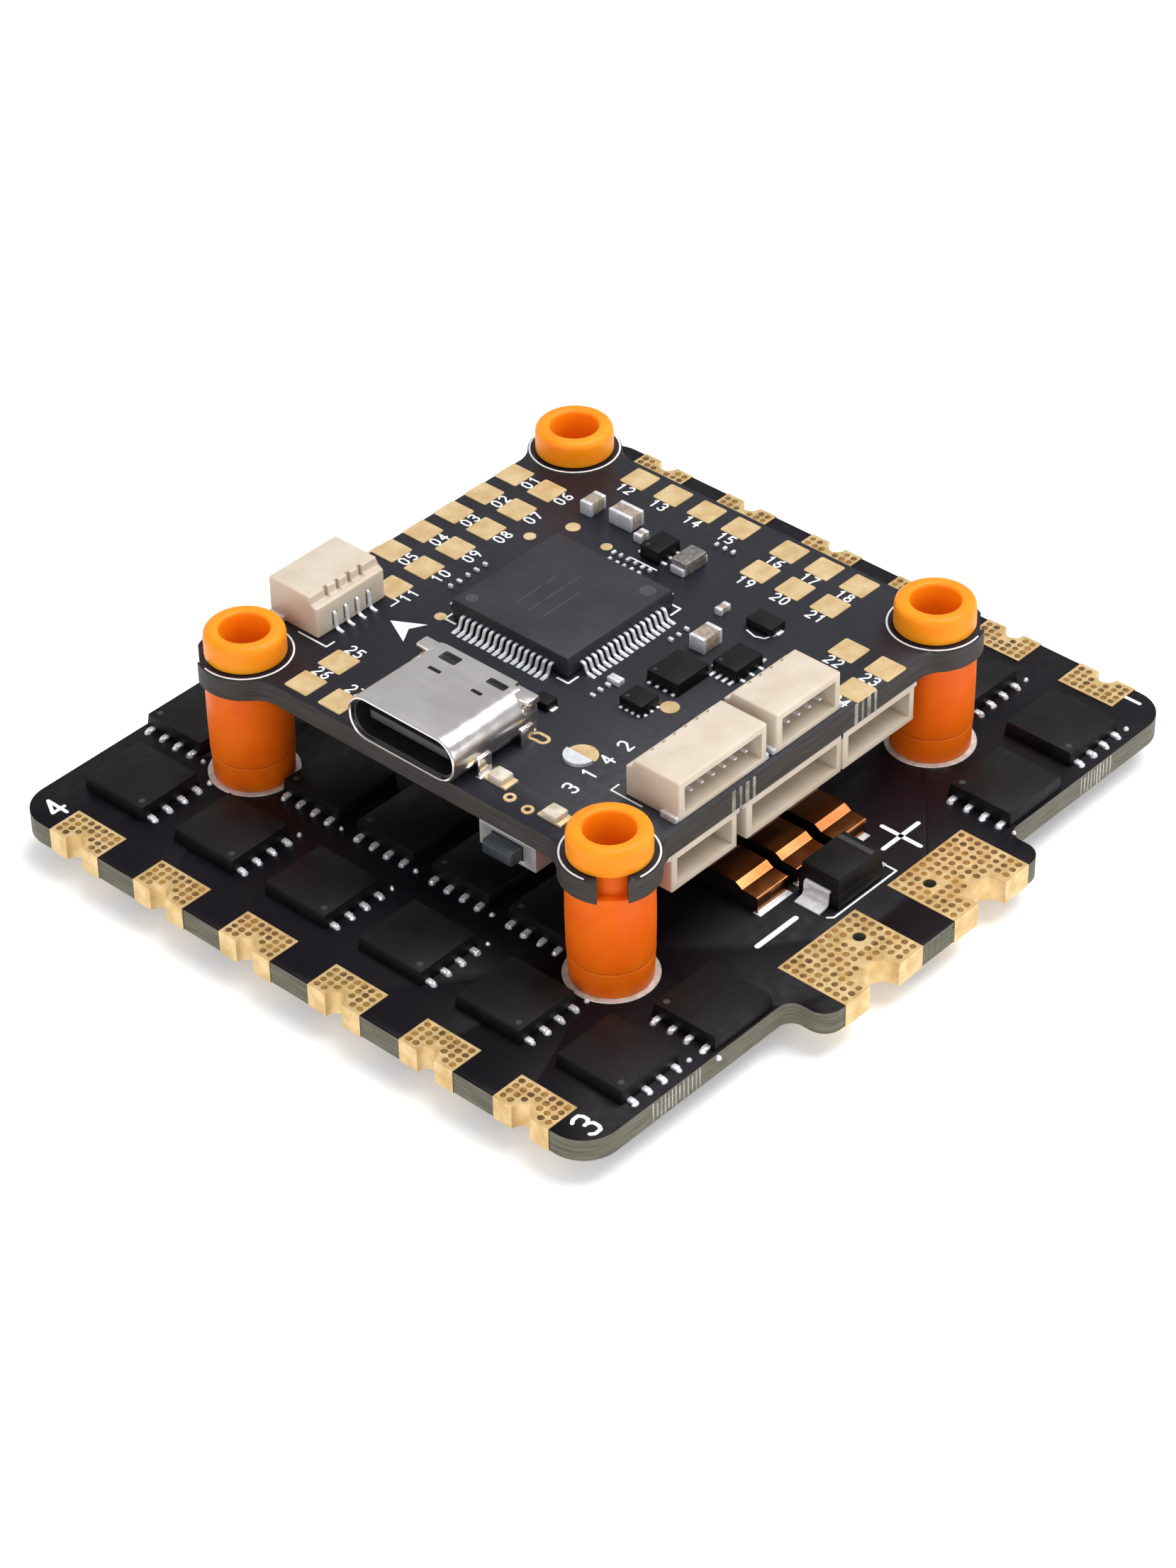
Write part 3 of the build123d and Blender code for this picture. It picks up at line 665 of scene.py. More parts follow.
outer_column, inner_column, end_column = 21.3, 13.15, 14.05
outer_rows = [19.2 - 8.06 * i for i in range(6)]
inner_rows = [9.67 * share for share in (1, 1 / 3, -1 / 3, -1)]
transistor_places = [(side * outer_column, y, 0) for side in (-1, 1) for y in outer_rows]
transistor_places += [(side * inner_column, y, -90) for side in (-1, 1) for y in inner_rows]
transistor_places += [(side * end_column, y, -90) for side in (-1, 1) for y in (21.2, -22.2)]
package_half_x, package_half_y, package_tall = 2.5, 2.65, 1.0


def around(place, dx, dy):
    """A point beside a package, turned with it."""
    x, y, turn = place
    spot = Matrix.Rotation(math.radians(turn), 2) @ Vector((dx, dy))
    return x + spot.x, y + spot.y


package = bmesh.new()
block(package, 0, 0, package_half_x, package_half_y, (0.03, package_tall), 0.07, draft=0.1)
stamp("transistor_mouldings", package,
      [{"at": (x, y, esc_top), "turn": (0, 0, turn)} for x, y, turn in transistor_places],
      black_mould, ["outer_transistors", "inner_transistors"])


def beside(dx, dy, lift=0.0):
    """A mark at the same spot beside every transistor, turned with it."""
    return [{"at": (*around(p, dx, dy), esc_top + lift), "turn": (0, 0, p[2])}
            for p in transistor_places]


def by_package(rows):
    """Takes marks that are listed by spot and lists them by transistor."""
    return [mark for marks in zip(*rows) for mark in marks]


lead_offsets = (-1.9, -0.62, 0.66, 1.94)
lead = bmesh.new()
brick(lead, (-0.2, 0.2), (-0.42, 0.2), (0, 0.22), 0.05)
stamp("transistor_leads", lead, by_package([beside(dx, -package_half_y) for dx in lead_offsets]),
      bright_tin)
drain = bmesh.new()
brick(drain, (-2.0, 2.0), (0, 0.22), (0, 0.22), 0.05)
stamp("transistor_drain_tabs", drain, beside(0, 2.6), bright_tin)
drop = bmesh.new()
bead(drop, 0.24, 0.26)
beads = by_package([beside(dx, -3.12) for dx in lead_offsets])
beads += [{"at": mark["at"], "size": (0.75, 0.75, 0.8)} for mark in beside(3.02, -2.95)]
stamp("transistor_solder", drop, beads, bright_tin, (), 0.22, 0.5, 11)
dimple = bmesh.new()
prism(dimple, 0, 0, -0.01, 0.006, 0.22, 14)
stamp("transistor_pin_marks", dimple,
      [{"at": mark["at"]} for mark in beside(-1.85, -2.0, package_tall)], laser_grey)

# ---- Clamping diode ----
# A black moulded diode catches voltage spikes between the battery pads. Its tinned strips come
# out half way up each end, bend down the moulding and flare out along the board.


def rounded_path(points, radius, steps=4):
    """The points of a bent line whose corners are arcs."""
    path = [Vector(points[0])]
    for before, here, after in zip(points, points[1:], points[2:]):
        a, b, c = Vector(before), Vector(here), Vector(after)
        cut = min(radius, (a - b).length * 0.45, (c - b).length * 0.45)
        start, end = b + (a - b).normalized() * cut, b + (c - b).normalized() * cut
        for i in range(steps + 1):
            t = i / steps
            path.append((1 - t) ** 2 * start + 2 * t * (1 - t) * b + t * t * end)
    path.append(Vector(points[-1]))
    return path


def bent_strip(shape, points, width, thick, radius, place=Matrix(), finish=0):
    """Sheet metal bent along a line in the XZ plane and as wide as is said along Y."""
    path = rounded_path(points, radius)
    rows = []
    for i, here in enumerate(path):
        ahead = path[min(i + 1, len(path) - 1)] - path[max(i - 1, 0)]
        normal = Vector((-ahead.y, ahead.x)).normalized() * thick / 2
        corners = [(here + normal, -1), (here + normal, 1), (here - normal, 1), (here - normal, -1)]
        rows.append([place @ Vector((p.x, side * width / 2, p.y)) for p, side in corners])
    loft(shape, rows, finish=finish)


tvs_low, tvs_high = box_mm("tvs_body")
diode = bmesh.new()
brick(diode, (tvs_low.x, tvs_high.x), (tvs_low.y, tvs_high.y), (tvs_low.z + 1.0, tvs_high.z), 0.1,
      draft=0.16)
brick(diode, (tvs_low.x, tvs_high.x), (tvs_low.y, tvs_high.y), (tvs_low.z, tvs_low.z + 1.0), 0.08)
brick(diode, (tvs_high.x - 0.95, tvs_high.x - 0.55), (tvs_low.y + 0.25, tvs_high.y - 0.25),
      (tvs_high.z - 0.02, tvs_high.z + 0.006), 0.0, 1)
add_piece("clamp_diode_moulding", diode, [black_mould, laser_grey], ["tvs_body"])
strips = bmesh.new()
middle = (tvs_low + tvs_high) / 2
for side in (-1, 1):
    about = Matrix.Rotation(math.pi * (side < 0), 4, "Z")
    face = Matrix.Translation((middle.x, middle.y, esc_top)) @ about
    bent_strip(strips, [(2.05, 1.22), (2.32, 1.2), (2.36, 0.2), (3.25, 0.08)], 1.95, 0.13, 0.3,
               face)
add_piece("clamp_diode_strips", strips, [bright_tin], ["tvs_leads"])

# ---- Supply capacitors ----
# Three dark blocks ahead of the diode carry a bent copper clip each: a high back, a short
# bevel and a lower shelf that turns down to its solder land at the rear.
copper = new_finish("bare_copper", (0.50, 0.19, 0.065), 0.2, 1.0)
tint(copper, grain(copper, 0.4), (0.42, 0.145, 0.045), (0.58, 0.24, 0.095))
uneven_gloss(copper, grain(copper, 0.8), 0.16, 0.26)
relief(copper, grain(copper, 1.5, (0.2, 1, 1)), 0.004, 0.3)
copper_centres = (-3.95, -0.2, 3.55)
rear_face = box_mm("bulk_capacitor_ends")[0].y
clips, cores, lands = bmesh.new(), bmesh.new(), bmesh.new()
for x in copper_centres:
    across = Matrix.Translation((x, rear_face, esc_top)) @ Matrix.Rotation(math.pi / 2, 4, "Z")
    bent_strip(clips, [(0.07, 0.05), (0.07, 1.14), (1.25, 1.2), (1.8, 1.54), (3.9, 1.54),
                       (4.35, 1.2), (4.53, 0.05)],
               2.9, 0.12, 0.06, across)
    brick(cores, (x - 1.38, x + 1.38), (rear_face + 0.15, rear_face + 4.45),
          (esc_top, esc_top + 1.12), 0.06)
    brick(cores, (x - 1.38, x + 1.38), (rear_face + 1.7, rear_face + 3.95),
          (esc_top + 1.0, esc_top + 1.47), 0.06)
    brick(lands, (x - 1.55, x + 1.5), (rear_face - 0.32, rear_face + 0.3),
          (esc_top - 0.02, esc_top + 0.06), 0.03)
    brick(lands, (x - 1.4, x + 1.4), (rear_face - 0.08, rear_face + 0.2),
          (esc_top, esc_top + 0.2), 0.08)
brick(lands, (5.02, 5.62), (rear_face + 0.5, rear_face + 1.3), (esc_top, esc_top + 0.4), 0.1)
add_piece("supply_capacitor_clips", clips, [copper], ["bulk_capacitors"])
add_piece("supply_capacitor_cores", cores, [black_mould])
add_piece("supply_capacitor_lands", lands, [bright_tin], ["bulk_capacitor_ends"])

# ---- Mount rings and edge vias of the lower board ----
# A tinned ring surrounds each screw hole. Where the panel was cut apart, rows of plated
# through holes were sliced open and show as upright silver ribs on the rear edge.


def lathe(shape, x, y, profile, steps=48, finish=0):
    """Turns a closed outline of radius and height about an upright axis."""
    angles = [math.tau * i / steps for i in range(steps)]
    loft(shape, [[(x + r * math.cos(a), y + r * math.sin(a), z) for a in angles]
                 for r, z in profile], False, finish)


screw_half = 15.25
ring_inner, ring_outer = 2.16, 3.0
screw_places = [(sx * screw_half, sy * screw_half) for sy in (-1, 1) for sx in (-1, 1)]
cut_via = new_finish("cut_via_copper", (0.34, 0.32, 0.28), 0.4, 0.4)
tint(cut_via, grain(cut_via, 1.2), (0.16, 0.15, 0.12), (0.52, 0.50, 0.45), 0.3, 0.7)
relief(cut_via, grain(cut_via, 8), 0.01)
pale_tin = new_finish("pale_tin", (0.72, 0.67, 0.62), 0.4, 0.35)
tint(pale_tin, grain(pale_tin, 2), (0.60, 0.55, 0.50), (0.80, 0.76, 0.72))
relief(pale_tin, grain(pale_tin, 6), 0.01)
rings = bmesh.new()
for x, y in screw_places:
    lathe(rings, x, y, [(ring_inner, esc_top), (ring_outer, esc_top),
                        (ring_outer - 0.04, esc_top + 0.045), (ring_inner, esc_top + 0.045)])
add_piece("lower_mount_rings", rings, [pale_tin], ["esc_mount_rings"])
rib = bmesh.new()
brick(rib, (-0.06, 0.06), (-0.02, 0.1), (-0.72, 0.72), 0.02, steps=1)
spans = [(-22.4, 13), (18.5, 10)]
ribs = [{"at": (start + i * 0.34 + 0.05 * math.sin(7 * i), -24.9, 2.7),
         "size": (1, 1, 1 - 0.25 * (i % 3 == 1))}
        for start, count in spans for i in range(count)]
stamp("lower_edge_vias", rib, ribs, cut_via, size_spread=0.05, seed=5)
tab_stub = bmesh.new()
for i in range(9):
    bead_x = -0.45 + i * 0.28
    prism(tab_stub, bead_x, -27.59 + 0.03 * math.sin(3 * i), 2.0 + 0.1 * (i % 2),
          3.4 - 0.14 * (i % 3),
          0.24 - 0.04 * (i % 2), 7, i)
add_piece("panel_tab_stub", tab_stub, [esc_laminate])

# ---- Chips under the lower board ----
# Hidden in use: a control chip and a gate driver for each motor, the supply regulator, the
# current amplifier and filter capacitors. They hang under the board, soldered at their sides.
tan_ceramic = new_finish("tan_ceramic", (0.33, 0.26, 0.20), 0.35)
tint(tan_ceramic, grain(tan_ceramic, 3), (0.25, 0.20, 0.155), (0.42, 0.34, 0.27))
relief(tan_ceramic, grain(tan_ceramic, 10), 0.006)
esc_under = esc_low.z
under_chips = bmesh.new()
under_lands = []
four = [(sx, sy) for sx in (-1, 1) for sy in (-1, 1)]
under_places = {"esc_microcontrollers": (2.0, [(sx * 8.0, sy * 7.0) for sx, sy in four]),
                "gate_drivers": (2.0, [(sx * 14.5, sy * 6.0) for sx, sy in four]),
                "esc_regulator": (1.5, [(0, 0)]),
                "current_amplifier": (1.0, [(0, -8.0)])}
land_pitch = 0.5
for node, (half, centres) in under_places.items():
    chip_low = box_mm(node)[0].z
    for x, y in centres:
        block(under_chips, x, y, half, half, (chip_low, esc_under - 0.03), 0.05)
        pins = int(half * 2 / land_pitch) - 1
        for side in range(4):
            quarter = Matrix.Rotation(side * math.pi / 2, 2)
            for i in range(pins):
                spot = quarter @ Vector((half, (i - (pins - 1) / 2) * land_pitch))
                under_lands.append({"at": (x + spot.x, y + spot.y, esc_under - 0.02),
                                    "turn": (0, 0, side * 90)})
add_piece("under_board_chips", under_chips, [black_mould], list(under_places))
land = bmesh.new()
brick(land, (-0.1, 0.2), (-0.12, 0.12), (-0.12, 0.03), 0.03, steps=1)
stamp("under_board_chip_lands", land, under_lands, bright_tin)
filters, filter_ends = bmesh.new(), bmesh.new()
for x, y in [(sx * 11.2, sy * h) for h in (12.4, 1.6) for sx in (-1, 1) for sy in (-1, 1)]:
    block(filters, x, y, 0.62, 0.6, (esc_under - 1.2, esc_under - 0.02), 0.04)
    for side in (-1, 1):
        ends = sorted((y + side * 0.6, y + side * 1.0))
        brick(filter_ends, (x - 0.63, x + 0.63), ends, (esc_under - 1.2, esc_under + 0.01), 0.08)
add_piece("filter_capacitor_bodies", filters, [tan_ceramic],
          ["esc_filter_capacitors"])
add_piece("filter_capacitor_ends", filter_ends, [bright_tin])

# ---- Upper board ----
# The flight controller's board has the same black mask. Round lobes at its corners carry the
# screw holes. The rear edge cuts through two rows of plated slots.
fc_low, fc_high = box_mm("fc_board")
fc_top, fc_under = fc_high.z, fc_low.z
fc_mask = board_mask("fc_black_mask", (0.0085, 0.0088, 0.0145), (0.0135, 0.0138, 0.0210), 37, 0.3)
fc_laminate = laminate_edge("fc_laminate_edge", (0.019, 0.0150, 0.0135), (0.054, 0.043, 0.038))
add_piece("upper_board", board_shape("fc_board"), [fc_mask, fc_laminate],
          ["fc_board"])
slot_rib = bmesh.new()
brick(slot_rib, (-0.18, 0.18), (-0.03, 0.1), (-0.78, 0.78), 0.04, steps=1)
slot_ribs = [{"at": (start + i * 0.62, -17.0, (fc_top + fc_under) / 2),
              "size": (1 - 0.3 * (i % 2), 1, 1)}
             for start, count in ((-6.1, 4), (5.4, 4)) for i in range(count)]
stamp("upper_edge_slots", slot_rib, slot_ribs, cut_via)

# ---- Wire pads of the upper board ----
# Square gold-plated pads for signal wires, in two rows at the front edge, two columns on the
# right and groups of three beside the lobes.
fine_gold = new_finish("fine_gold", (0.77, 0.555, 0.28), 0.38, 0.5)
tint(fine_gold, grain(fine_gold, 0.8), (0.70, 0.475, 0.22), (0.83, 0.63, 0.355))
uneven_gloss(fine_gold, grain(fine_gold, 4), 0.3, 0.45)
relief(fine_gold, grain(fine_gold, 3), 0.006, 0.6)
pad_step = 2.9
pad_half = 0.975
front_row = 17.0 - pad_half
right_column = 15.2
front_pads = [(10.2 - i * pad_step, front_row) for i in range(5)]
front_pads += [(10.2 - i * pad_step, front_row - pad_step) for i in range(6)]
right_pads = [(right_column, 9.4 - i * pad_step) for i in range(4)]
right_pads += [(right_column - col * pad_step, -3.4 - i * pad_step)
               for col in range(2) for i in range(3)]
rear_pads = [(9.35, pad_step - front_row), (9.35, -front_row), (9.35 - pad_step, -front_row)]
left_pads = [(pad_step - right_column, 10.0), (-right_column, 10.0),
             (-right_column, 10.0 - pad_step)]


def rounded_plate(shape, half_x, half_y, corner, low, high, steps=3):
    """A thin plate with rounded corners, a little smaller at its top."""
    rim = []
    for cx, cy, start in ((1, 1, 0), (-1, 1, 90), (-1, -1, 180), (1, -1, 270)):
        for i in range(steps + 1):
            a = math.radians(start + 90 * i / steps)
            rim.append((cx * (half_x - corner) + corner * math.cos(a),
                        cy * (half_y - corner) + corner * math.sin(a)))
    top_share = 0.985
    loft(shape, [[(x, y, low) for x, y in rim],
                 [(x * top_share, y * top_share, high) for x, y in rim]])


pad_plate = bmesh.new()
rounded_plate(pad_plate, pad_half, pad_half, 0.14, -0.01, 0.045)
wire_pads = front_pads + right_pads + rear_pads + left_pads
stamp("signal_wire_pads", pad_plate, [{"at": (x, y, fc_top)} for x, y in wire_pads], fine_gold,
      ["fc_solder_pads"])
test_pads = bmesh.new()
for x, y, radius in ((5.6, 10.4, 0.42), (8.2, 9.0, 0.5), (7.95, 5.85, 0.4),
                     (-4.63, 8.6, 0.4), (-2.35, -8.62, 0.62)):
    prism(test_pads, x, y, fc_top - 0.01, fc_top + 0.04, radius, 24)
add_piece("upper_test_pads", test_pads, [fine_gold])

# ---- Print on the upper board ----
# White ink numbers every pad and marks the front with an arrowhead. Thin lines frame the
# processor and the sockets, and a ring runs round each mount hole.
fc_ink = bmesh.new()
ink_level = fc_top - 0.004
label_gap = 1.45
labels = [(x, y - label_gap, 0) for x, y in front_pads]
labels += [(x - label_gap, y, -math.pi / 2) for x, y in right_pads + rear_pads]
labels += [(x + label_gap, y, -math.pi / 2) for x, y in left_pads]
for number, (x, y, turn) in enumerate(labels, 1):
    for i, figure in enumerate(f"{number:02d}"):
        spot = Vector((x, y)) + Matrix.Rotation(turn, 2) @ Vector(((i - 0.5) * 0.72, 0))
        ink_figure(fc_ink, figure, spot.x, spot.y, 0.78, ink_level, turn, 0.13)
arrow = [(-7.0, 10.7), (-8.1, 8.5), (-6.9, 9.2), (-5.8, 8.6)]
loft(fc_ink, [[(x, y, z) for x, y in arrow] for z in (ink_level, ink_level + 0.02)])
mcu_low, mcu_high = box_mm("mcu_leads")
corner_mark, corner_gap = 0.9, 0.75
for cx, cy in ((mcu_low.x, mcu_high.y), (mcu_low.x, mcu_low.y),
               (mcu_high.x, mcu_low.y), (mcu_high.x, mcu_high.y)):
    sx, sy = 1 if cx < 0 else -1, 1 if cy < 0 else -1
    ox, oy = cx + sx * corner_gap, cy + sy * corner_gap
    ink_path(fc_ink, [(ox + sx * corner_mark, oy), (ox, oy), (ox, oy + sy * corner_mark)], 0.15,
             ink_level)
for node in ("rear_left_connector_housing", "rear_right_connector_housing",
             "front_connector_housing"):
    a, b = box_mm(node)
    rear = a.y < 0
    inner = b.y + 0.95 if rear else a.y - 0.95
    edge_y = b.y - 1.5 if rear else a.y + 1.5
    for x, sx in ((a.x - 0.25, 1), (b.x + 0.25, -1)):
        ink_path(fc_ink, [(x + sx * 0.7, inner), (x, inner), (x, edge_y)], 0.12, ink_level)
ring_ink = 3.02
for x, y in screw_places:
    outward = math.degrees(math.atan2(y, x))
    arc = [math.radians(outward + 34 + a * 7.3) for a in range(41)]
    ink_path(fc_ink, [(x + ring_ink * math.cos(a), y + ring_ink * math.sin(a)) for a in arc], 0.12,
             ink_level)
ink_path(fc_ink, [(6.9, -8.25), (6.7, -7.7), (6.9, -6.9)], 0.12, ink_level)
ink_path(fc_ink, [(6.9, -8.3), (8.0, -8.75)], 0.12, ink_level)
ink_stroke(fc_ink, (8.1, 3.9), (8.1, 1.7), 0.12, ink_level)
add_piece("upper_board_print", fc_ink, [white_ink], ["fc_mount_rings"])
ink_marks = bmesh.new()
for i, figure in enumerate("3142"):
    ink_figure(ink_marks, figure, -12.3 + i * 1.75, -9.45 + 0.1 * i, 1.0, ink_level, 0.0, 0.15)
add_piece("jumper_print", ink_marks, [white_ink])
halves = bmesh.new()
for start, finish in ((0, 0), (180, 1)):
    rim = [(-9.55 + (0.09 if finish == 0 else -0.09) + 1.05 * math.cos(math.radians(start + a)),
            -7.8 + 1.05 * math.sin(math.radians(start + a))) for a in range(-90, 91, 15)]
    top = fc_top + (0.25 if finish else 0.05)
    loft(halves, [[(x, y, z) for x, y in rim] for z in (fc_top - 0.01, top)], finish=finish)
add_piece("split_jumper", halves, [fine_gold, bright_tin])

# ---- Processor ----
# A square flat pack of black epoxy with sixteen gull-wing leads on each side. The mould's two
# halves meet at the leads, and the upper one slopes a little.
core_low, core_high = box_mm("mcu_body")
core_mid = (core_low + core_high) / 2
core_half = (core_high.x - core_low.x) / 2
split = core_mid.z - 0.05
core_mould = new_finish("processor_epoxy", (0.022, 0.020, 0.025), 0.5)
shader_of(core_mould).inputs["Specular IOR Level"].default_value = 0.35
tint(core_mould, grain(core_mould, 0.3, detail=4), (0.0185, 0.017, 0.022), (0.029, 0.0265, 0.032))
uneven_gloss(core_mould, grain(core_mould, 1.1, (1, 0.3, 1), 5, (0, 0, 0.6)), 0.42, 0.6)
relief(core_mould, grain(core_mould, 14), 0.006, 0.6)
core_laser = new_finish("processor_laser_mark", (0.048, 0.045, 0.052), 0.6)
tint(core_laser, grain(core_laser, 6), (0.034, 0.032, 0.037), (0.062, 0.059, 0.066))
processor = bmesh.new()
brick(processor, (core_low.x, core_high.x), (core_low.y, core_high.y), (split, core_high.z), 0.05,
      draft=0.13)
brick(processor, (core_low.x + 0.1, core_high.x - 0.1), (core_low.y + 0.1, core_high.y - 0.1),
      (core_low.z, split + 0.02), 0.02)
for x, y, radius in ((core_low.x + 1.0, core_high.y - 1.0, 0.42),
                     (core_high.x - 1.2, core_low.y + 1.2, 0.55)):
    prism(processor, x, y, core_high.z - 0.01, core_high.z + 0.006, radius, 28, finish=1)
laser_rows = (((-2.6, -0.3), (0.3, 1.1)), ((-2.6, -1.5), (-1.1, 0.6), (1.0, 2.2)), ((-2.6, 0.9),))
for row, dashes in enumerate(laser_rows):
    for start, end in dashes:
        y = core_mid.y + 1.6 - row * 1.15
        ink_stroke(processor, (core_mid.x + start, y), (core_mid.x + end, y), 0.09,
                   core_high.z - 0.002, 0.005, 1)
add_piece("processor_moulding", processor, [core_mould, core_laser], ["mcu_body"])
gull = bmesh.new()
bent_strip(gull, [(-0.12, split - fc_top), (0.26, split - fc_top), (0.5, 0.09), (0.98, 0.055)],
           0.22, 0.1, 0.14)
pins_per_side, core_pitch = 16, 0.5
core_pins = [(side * 90, (i - (pins_per_side - 1) / 2) * core_pitch)
             for side in range(4) for i in range(pins_per_side)]
marks = []
for angle, along in core_pins:
    spot = Matrix.Rotation(math.radians(angle), 2) @ Vector((core_half, along))
    marks.append({"at": (core_mid.x + spot.x, core_mid.y + spot.y, fc_top), "turn": (0, 0, angle)})
stamp("processor_leads", gull, marks, bright_tin, ["mcu_leads"])
fillet = bmesh.new()
brick(fillet, (0.6, 1.16), (-0.15, 0.15), (-0.02, 0.07), 0.03, steps=1)
stamp("processor_solder", fillet, marks, bright_tin, size_spread=0.04)

# ---- Small parts of the upper board ----
# Memory, video overlay and motion chips, a regulator, diodes, ceramic and tantalum capacitors
# and two status lamps. All are soldered at their ends or sides.


def let_light_in(finish, weight, reach, scale):
    """Light goes a little way into the material before it comes out again."""
    for socket, value in (("Weight", weight), ("Radius", reach), ("Scale", scale)):
        shader_of(finish).inputs["Subsurface " + socket].default_value = value


small_black, small_tan, small_ends, lamps = [bmesh.new() for _ in range(4)]
for node in ("memory_chip", "video_overlay_chip", "gyro_sensor", "fc_regulator"):
    a, b = box_mm(node)
    brick(small_black, (a.x, b.x), (a.y, b.y), (a.z + 0.03, b.z), 0.06, draft=0.04)
    prism(small_black, a.x + 0.4, b.y - 0.4, b.z - 0.01, b.z + 0.005, 0.13, 16, finish=1)
for x, y in ((7.95, -7.55), (-7.2, -2.7)):
    half = (0.7, 1.05) if x > 0 else (0.5, 0.62)
    block(small_black, x, y, *half, (fc_top + 0.02, fc_top + 0.6), 0.07)
    block(small_ends, x, y, 0.3, half[1] + 0.25, (fc_top, fc_top + 0.12), 0.04)
a, b = box_mm("tantalum_capacitor")
brick(small_tan, (a.x, b.x), (a.y + 0.02, b.y - 0.02), (a.z + 0.03, b.z), 0.05, 1)
for side in (a.x - 0.2, b.x - 0.12):
    brick(small_ends, (side, side + 0.32), (a.y + 0.1, b.y - 0.1), (a.z, a.z + 0.55), 0.05)
ceramics = [((9.75, 11.3), (8.85, 9.8), 1.0), ((10.15, 11.5), (5.75, 7.65), 1.1),
            ((3.1, 4.9), (-6.62, -5.4), 1.1), ((9.6, 10.5), (4.4, 5.05), 0.6),
            ((-2.9, -2.3), (-4.9, -3.9), 0.4), ((6.9, 7.9), (-4.75, -4.2), 0.5)]
for (x0, x1), (y0, y1), tall in ceramics:
    brick(small_tan, (x0 + 0.22, x1 - 0.22), (y0 + 0.01, y1 - 0.01),
          (fc_top + 0.02, fc_top + tall - 0.02), 0.03)
    for end in ((x0, x0 + 0.3), (x1 - 0.3, x1)):
        brick(small_ends, end, (y0, y1), (fc_top - 0.01, fc_top + tall), 0.06)
lead_sides = [("memory_chip", "x", 4, 0.22), ("video_overlay_chip", "x", 4, 0.5),
              ("video_overlay_chip", "y", 3, 0.35), ("gyro_sensor", "x", 4, 0.16),
              ("gyro_sensor", "y", 3, 0.16), ("fc_regulator", "y", 3, 0.4)]
lead_heights = (fc_top - 0.01, fc_top + 0.14)
for node, side, count, reach in lead_sides:
    a, b = box_mm(node)
    for i in range(count):
        t = (i + 0.5) / count
        if side == "x":
            y = a.y + t * (b.y - a.y)
            brick(small_ends, (a.x - reach, b.x + reach), (y - 0.12, y + 0.12), lead_heights, 0.05)
        else:
            x = a.x + t * (b.x - a.x)
            brick(small_ends, (x - 0.12, x + 0.12), (a.y - reach, b.y + reach), lead_heights, 0.05)
add_piece("upper_board_chips", small_black, [black_mould, laser_grey],
          ["memory_chip", "video_overlay_chip", "gyro_sensor", "fc_regulator", "protection_diodes"])
silver_case = new_finish("tantalum_case", (0.17, 0.165, 0.16), 0.35, 0.3)
tint(silver_case, grain(silver_case, 3), (0.12, 0.115, 0.11), (0.23, 0.225, 0.22))
relief(silver_case, grain(silver_case, 10), 0.006)
add_piece("upper_board_capacitors", small_tan, [tan_ceramic, silver_case],
          ["fc_ceramic_capacitors", "tantalum_capacitor"])
add_piece("upper_board_joints", small_ends, [bright_tin])
jot = bmesh.new()
brick(jot, (-0.19, 0.19), (-0.11, 0.11), (0, 0.24), 0.04, steps=1)
jot_rows = [(7.7, 5.0, 0, -0.62, 0, 6), (6.95, 4.7, 0, -0.62, 0, 5), (-4.6, -4.3, 0.7, 0, 90, 3),
            (2.9, -4.1, 0.75, 0, 90, 3), (-7.9, 4.6, 0, -0.8, 0, 4), (12.7, 0.6, 0, -0.7, 0, 3),
            (-1.9, 10.3, 0.8, 0, 90, 5)]
jots = [{"at": (x + i * dx, y + i * dy, fc_top), "turn": (0, 0, turn)}
        for x, y, dx, dy, turn, count in jot_rows for i in range(count)]
stamp("upper_board_resistors", jot, jots, bright_tin, size_spread=0.15, seed=9)
lamp_resin = new_finish("lamp_resin", (0.62, 0.56, 0.46), 0.3)
tint(lamp_resin, grain(lamp_resin, 1.6), (0.50, 0.44, 0.32), (0.70, 0.64, 0.56))
relief(lamp_resin, grain(lamp_resin, 6), 0.01)
let_light_in(lamp_resin, 0.3, (0.4, 0.3, 0.2), 0.001)
for x, y in ((-14.5, -5.8), (-15.0, -10.7)):
    block(lamps, x, y, 0.55, 0.6, (fc_top + 0.02, fc_top + 0.6), 0.12)
    block(lamps, x, y, 0.58, 0.95, (fc_top, fc_top + 0.2), 0.05, 1)
for x, y in ((-15.35, -7.35), (-15.52, -8.95)):
    lathe(lamps, x, y, [(0.2, fc_top - 0.01), (0.43, fc_top - 0.01), (0.4, fc_top + 0.06),
                        (0.2, fc_top + 0.06)], 24, 1)
add_piece("status_lamps", lamps, [lamp_resin, fine_gold], ["status_leds"])

# ---- Data socket ----
# A drawn stainless shell, nickel plated, with a rolled mouth. Openings in its top let the
# solder heat through. A dark tongue inside carries twelve gold contacts on each face.
nickel = new_finish("nickel_shell", (0.80, 0.75, 0.73), 0.2, 1.0)
tint(nickel, grain(nickel, 0.35), (0.76, 0.71, 0.70), (0.86, 0.82, 0.80))
uneven_gloss(nickel, grain(nickel, 1.4, (1, 0.15, 1), 5), 0.16, 0.28)
relief(nickel, grain(nickel, 9, (0.2, 1, 1), 3), 0.0025, 0.7)
relief(nickel, grain(nickel, 0.5), 0.02, 0.4)
shell_low, shell_high = box_mm("usb_shell")
shell_mid_z = (shell_low.z + shell_high.z) / 2


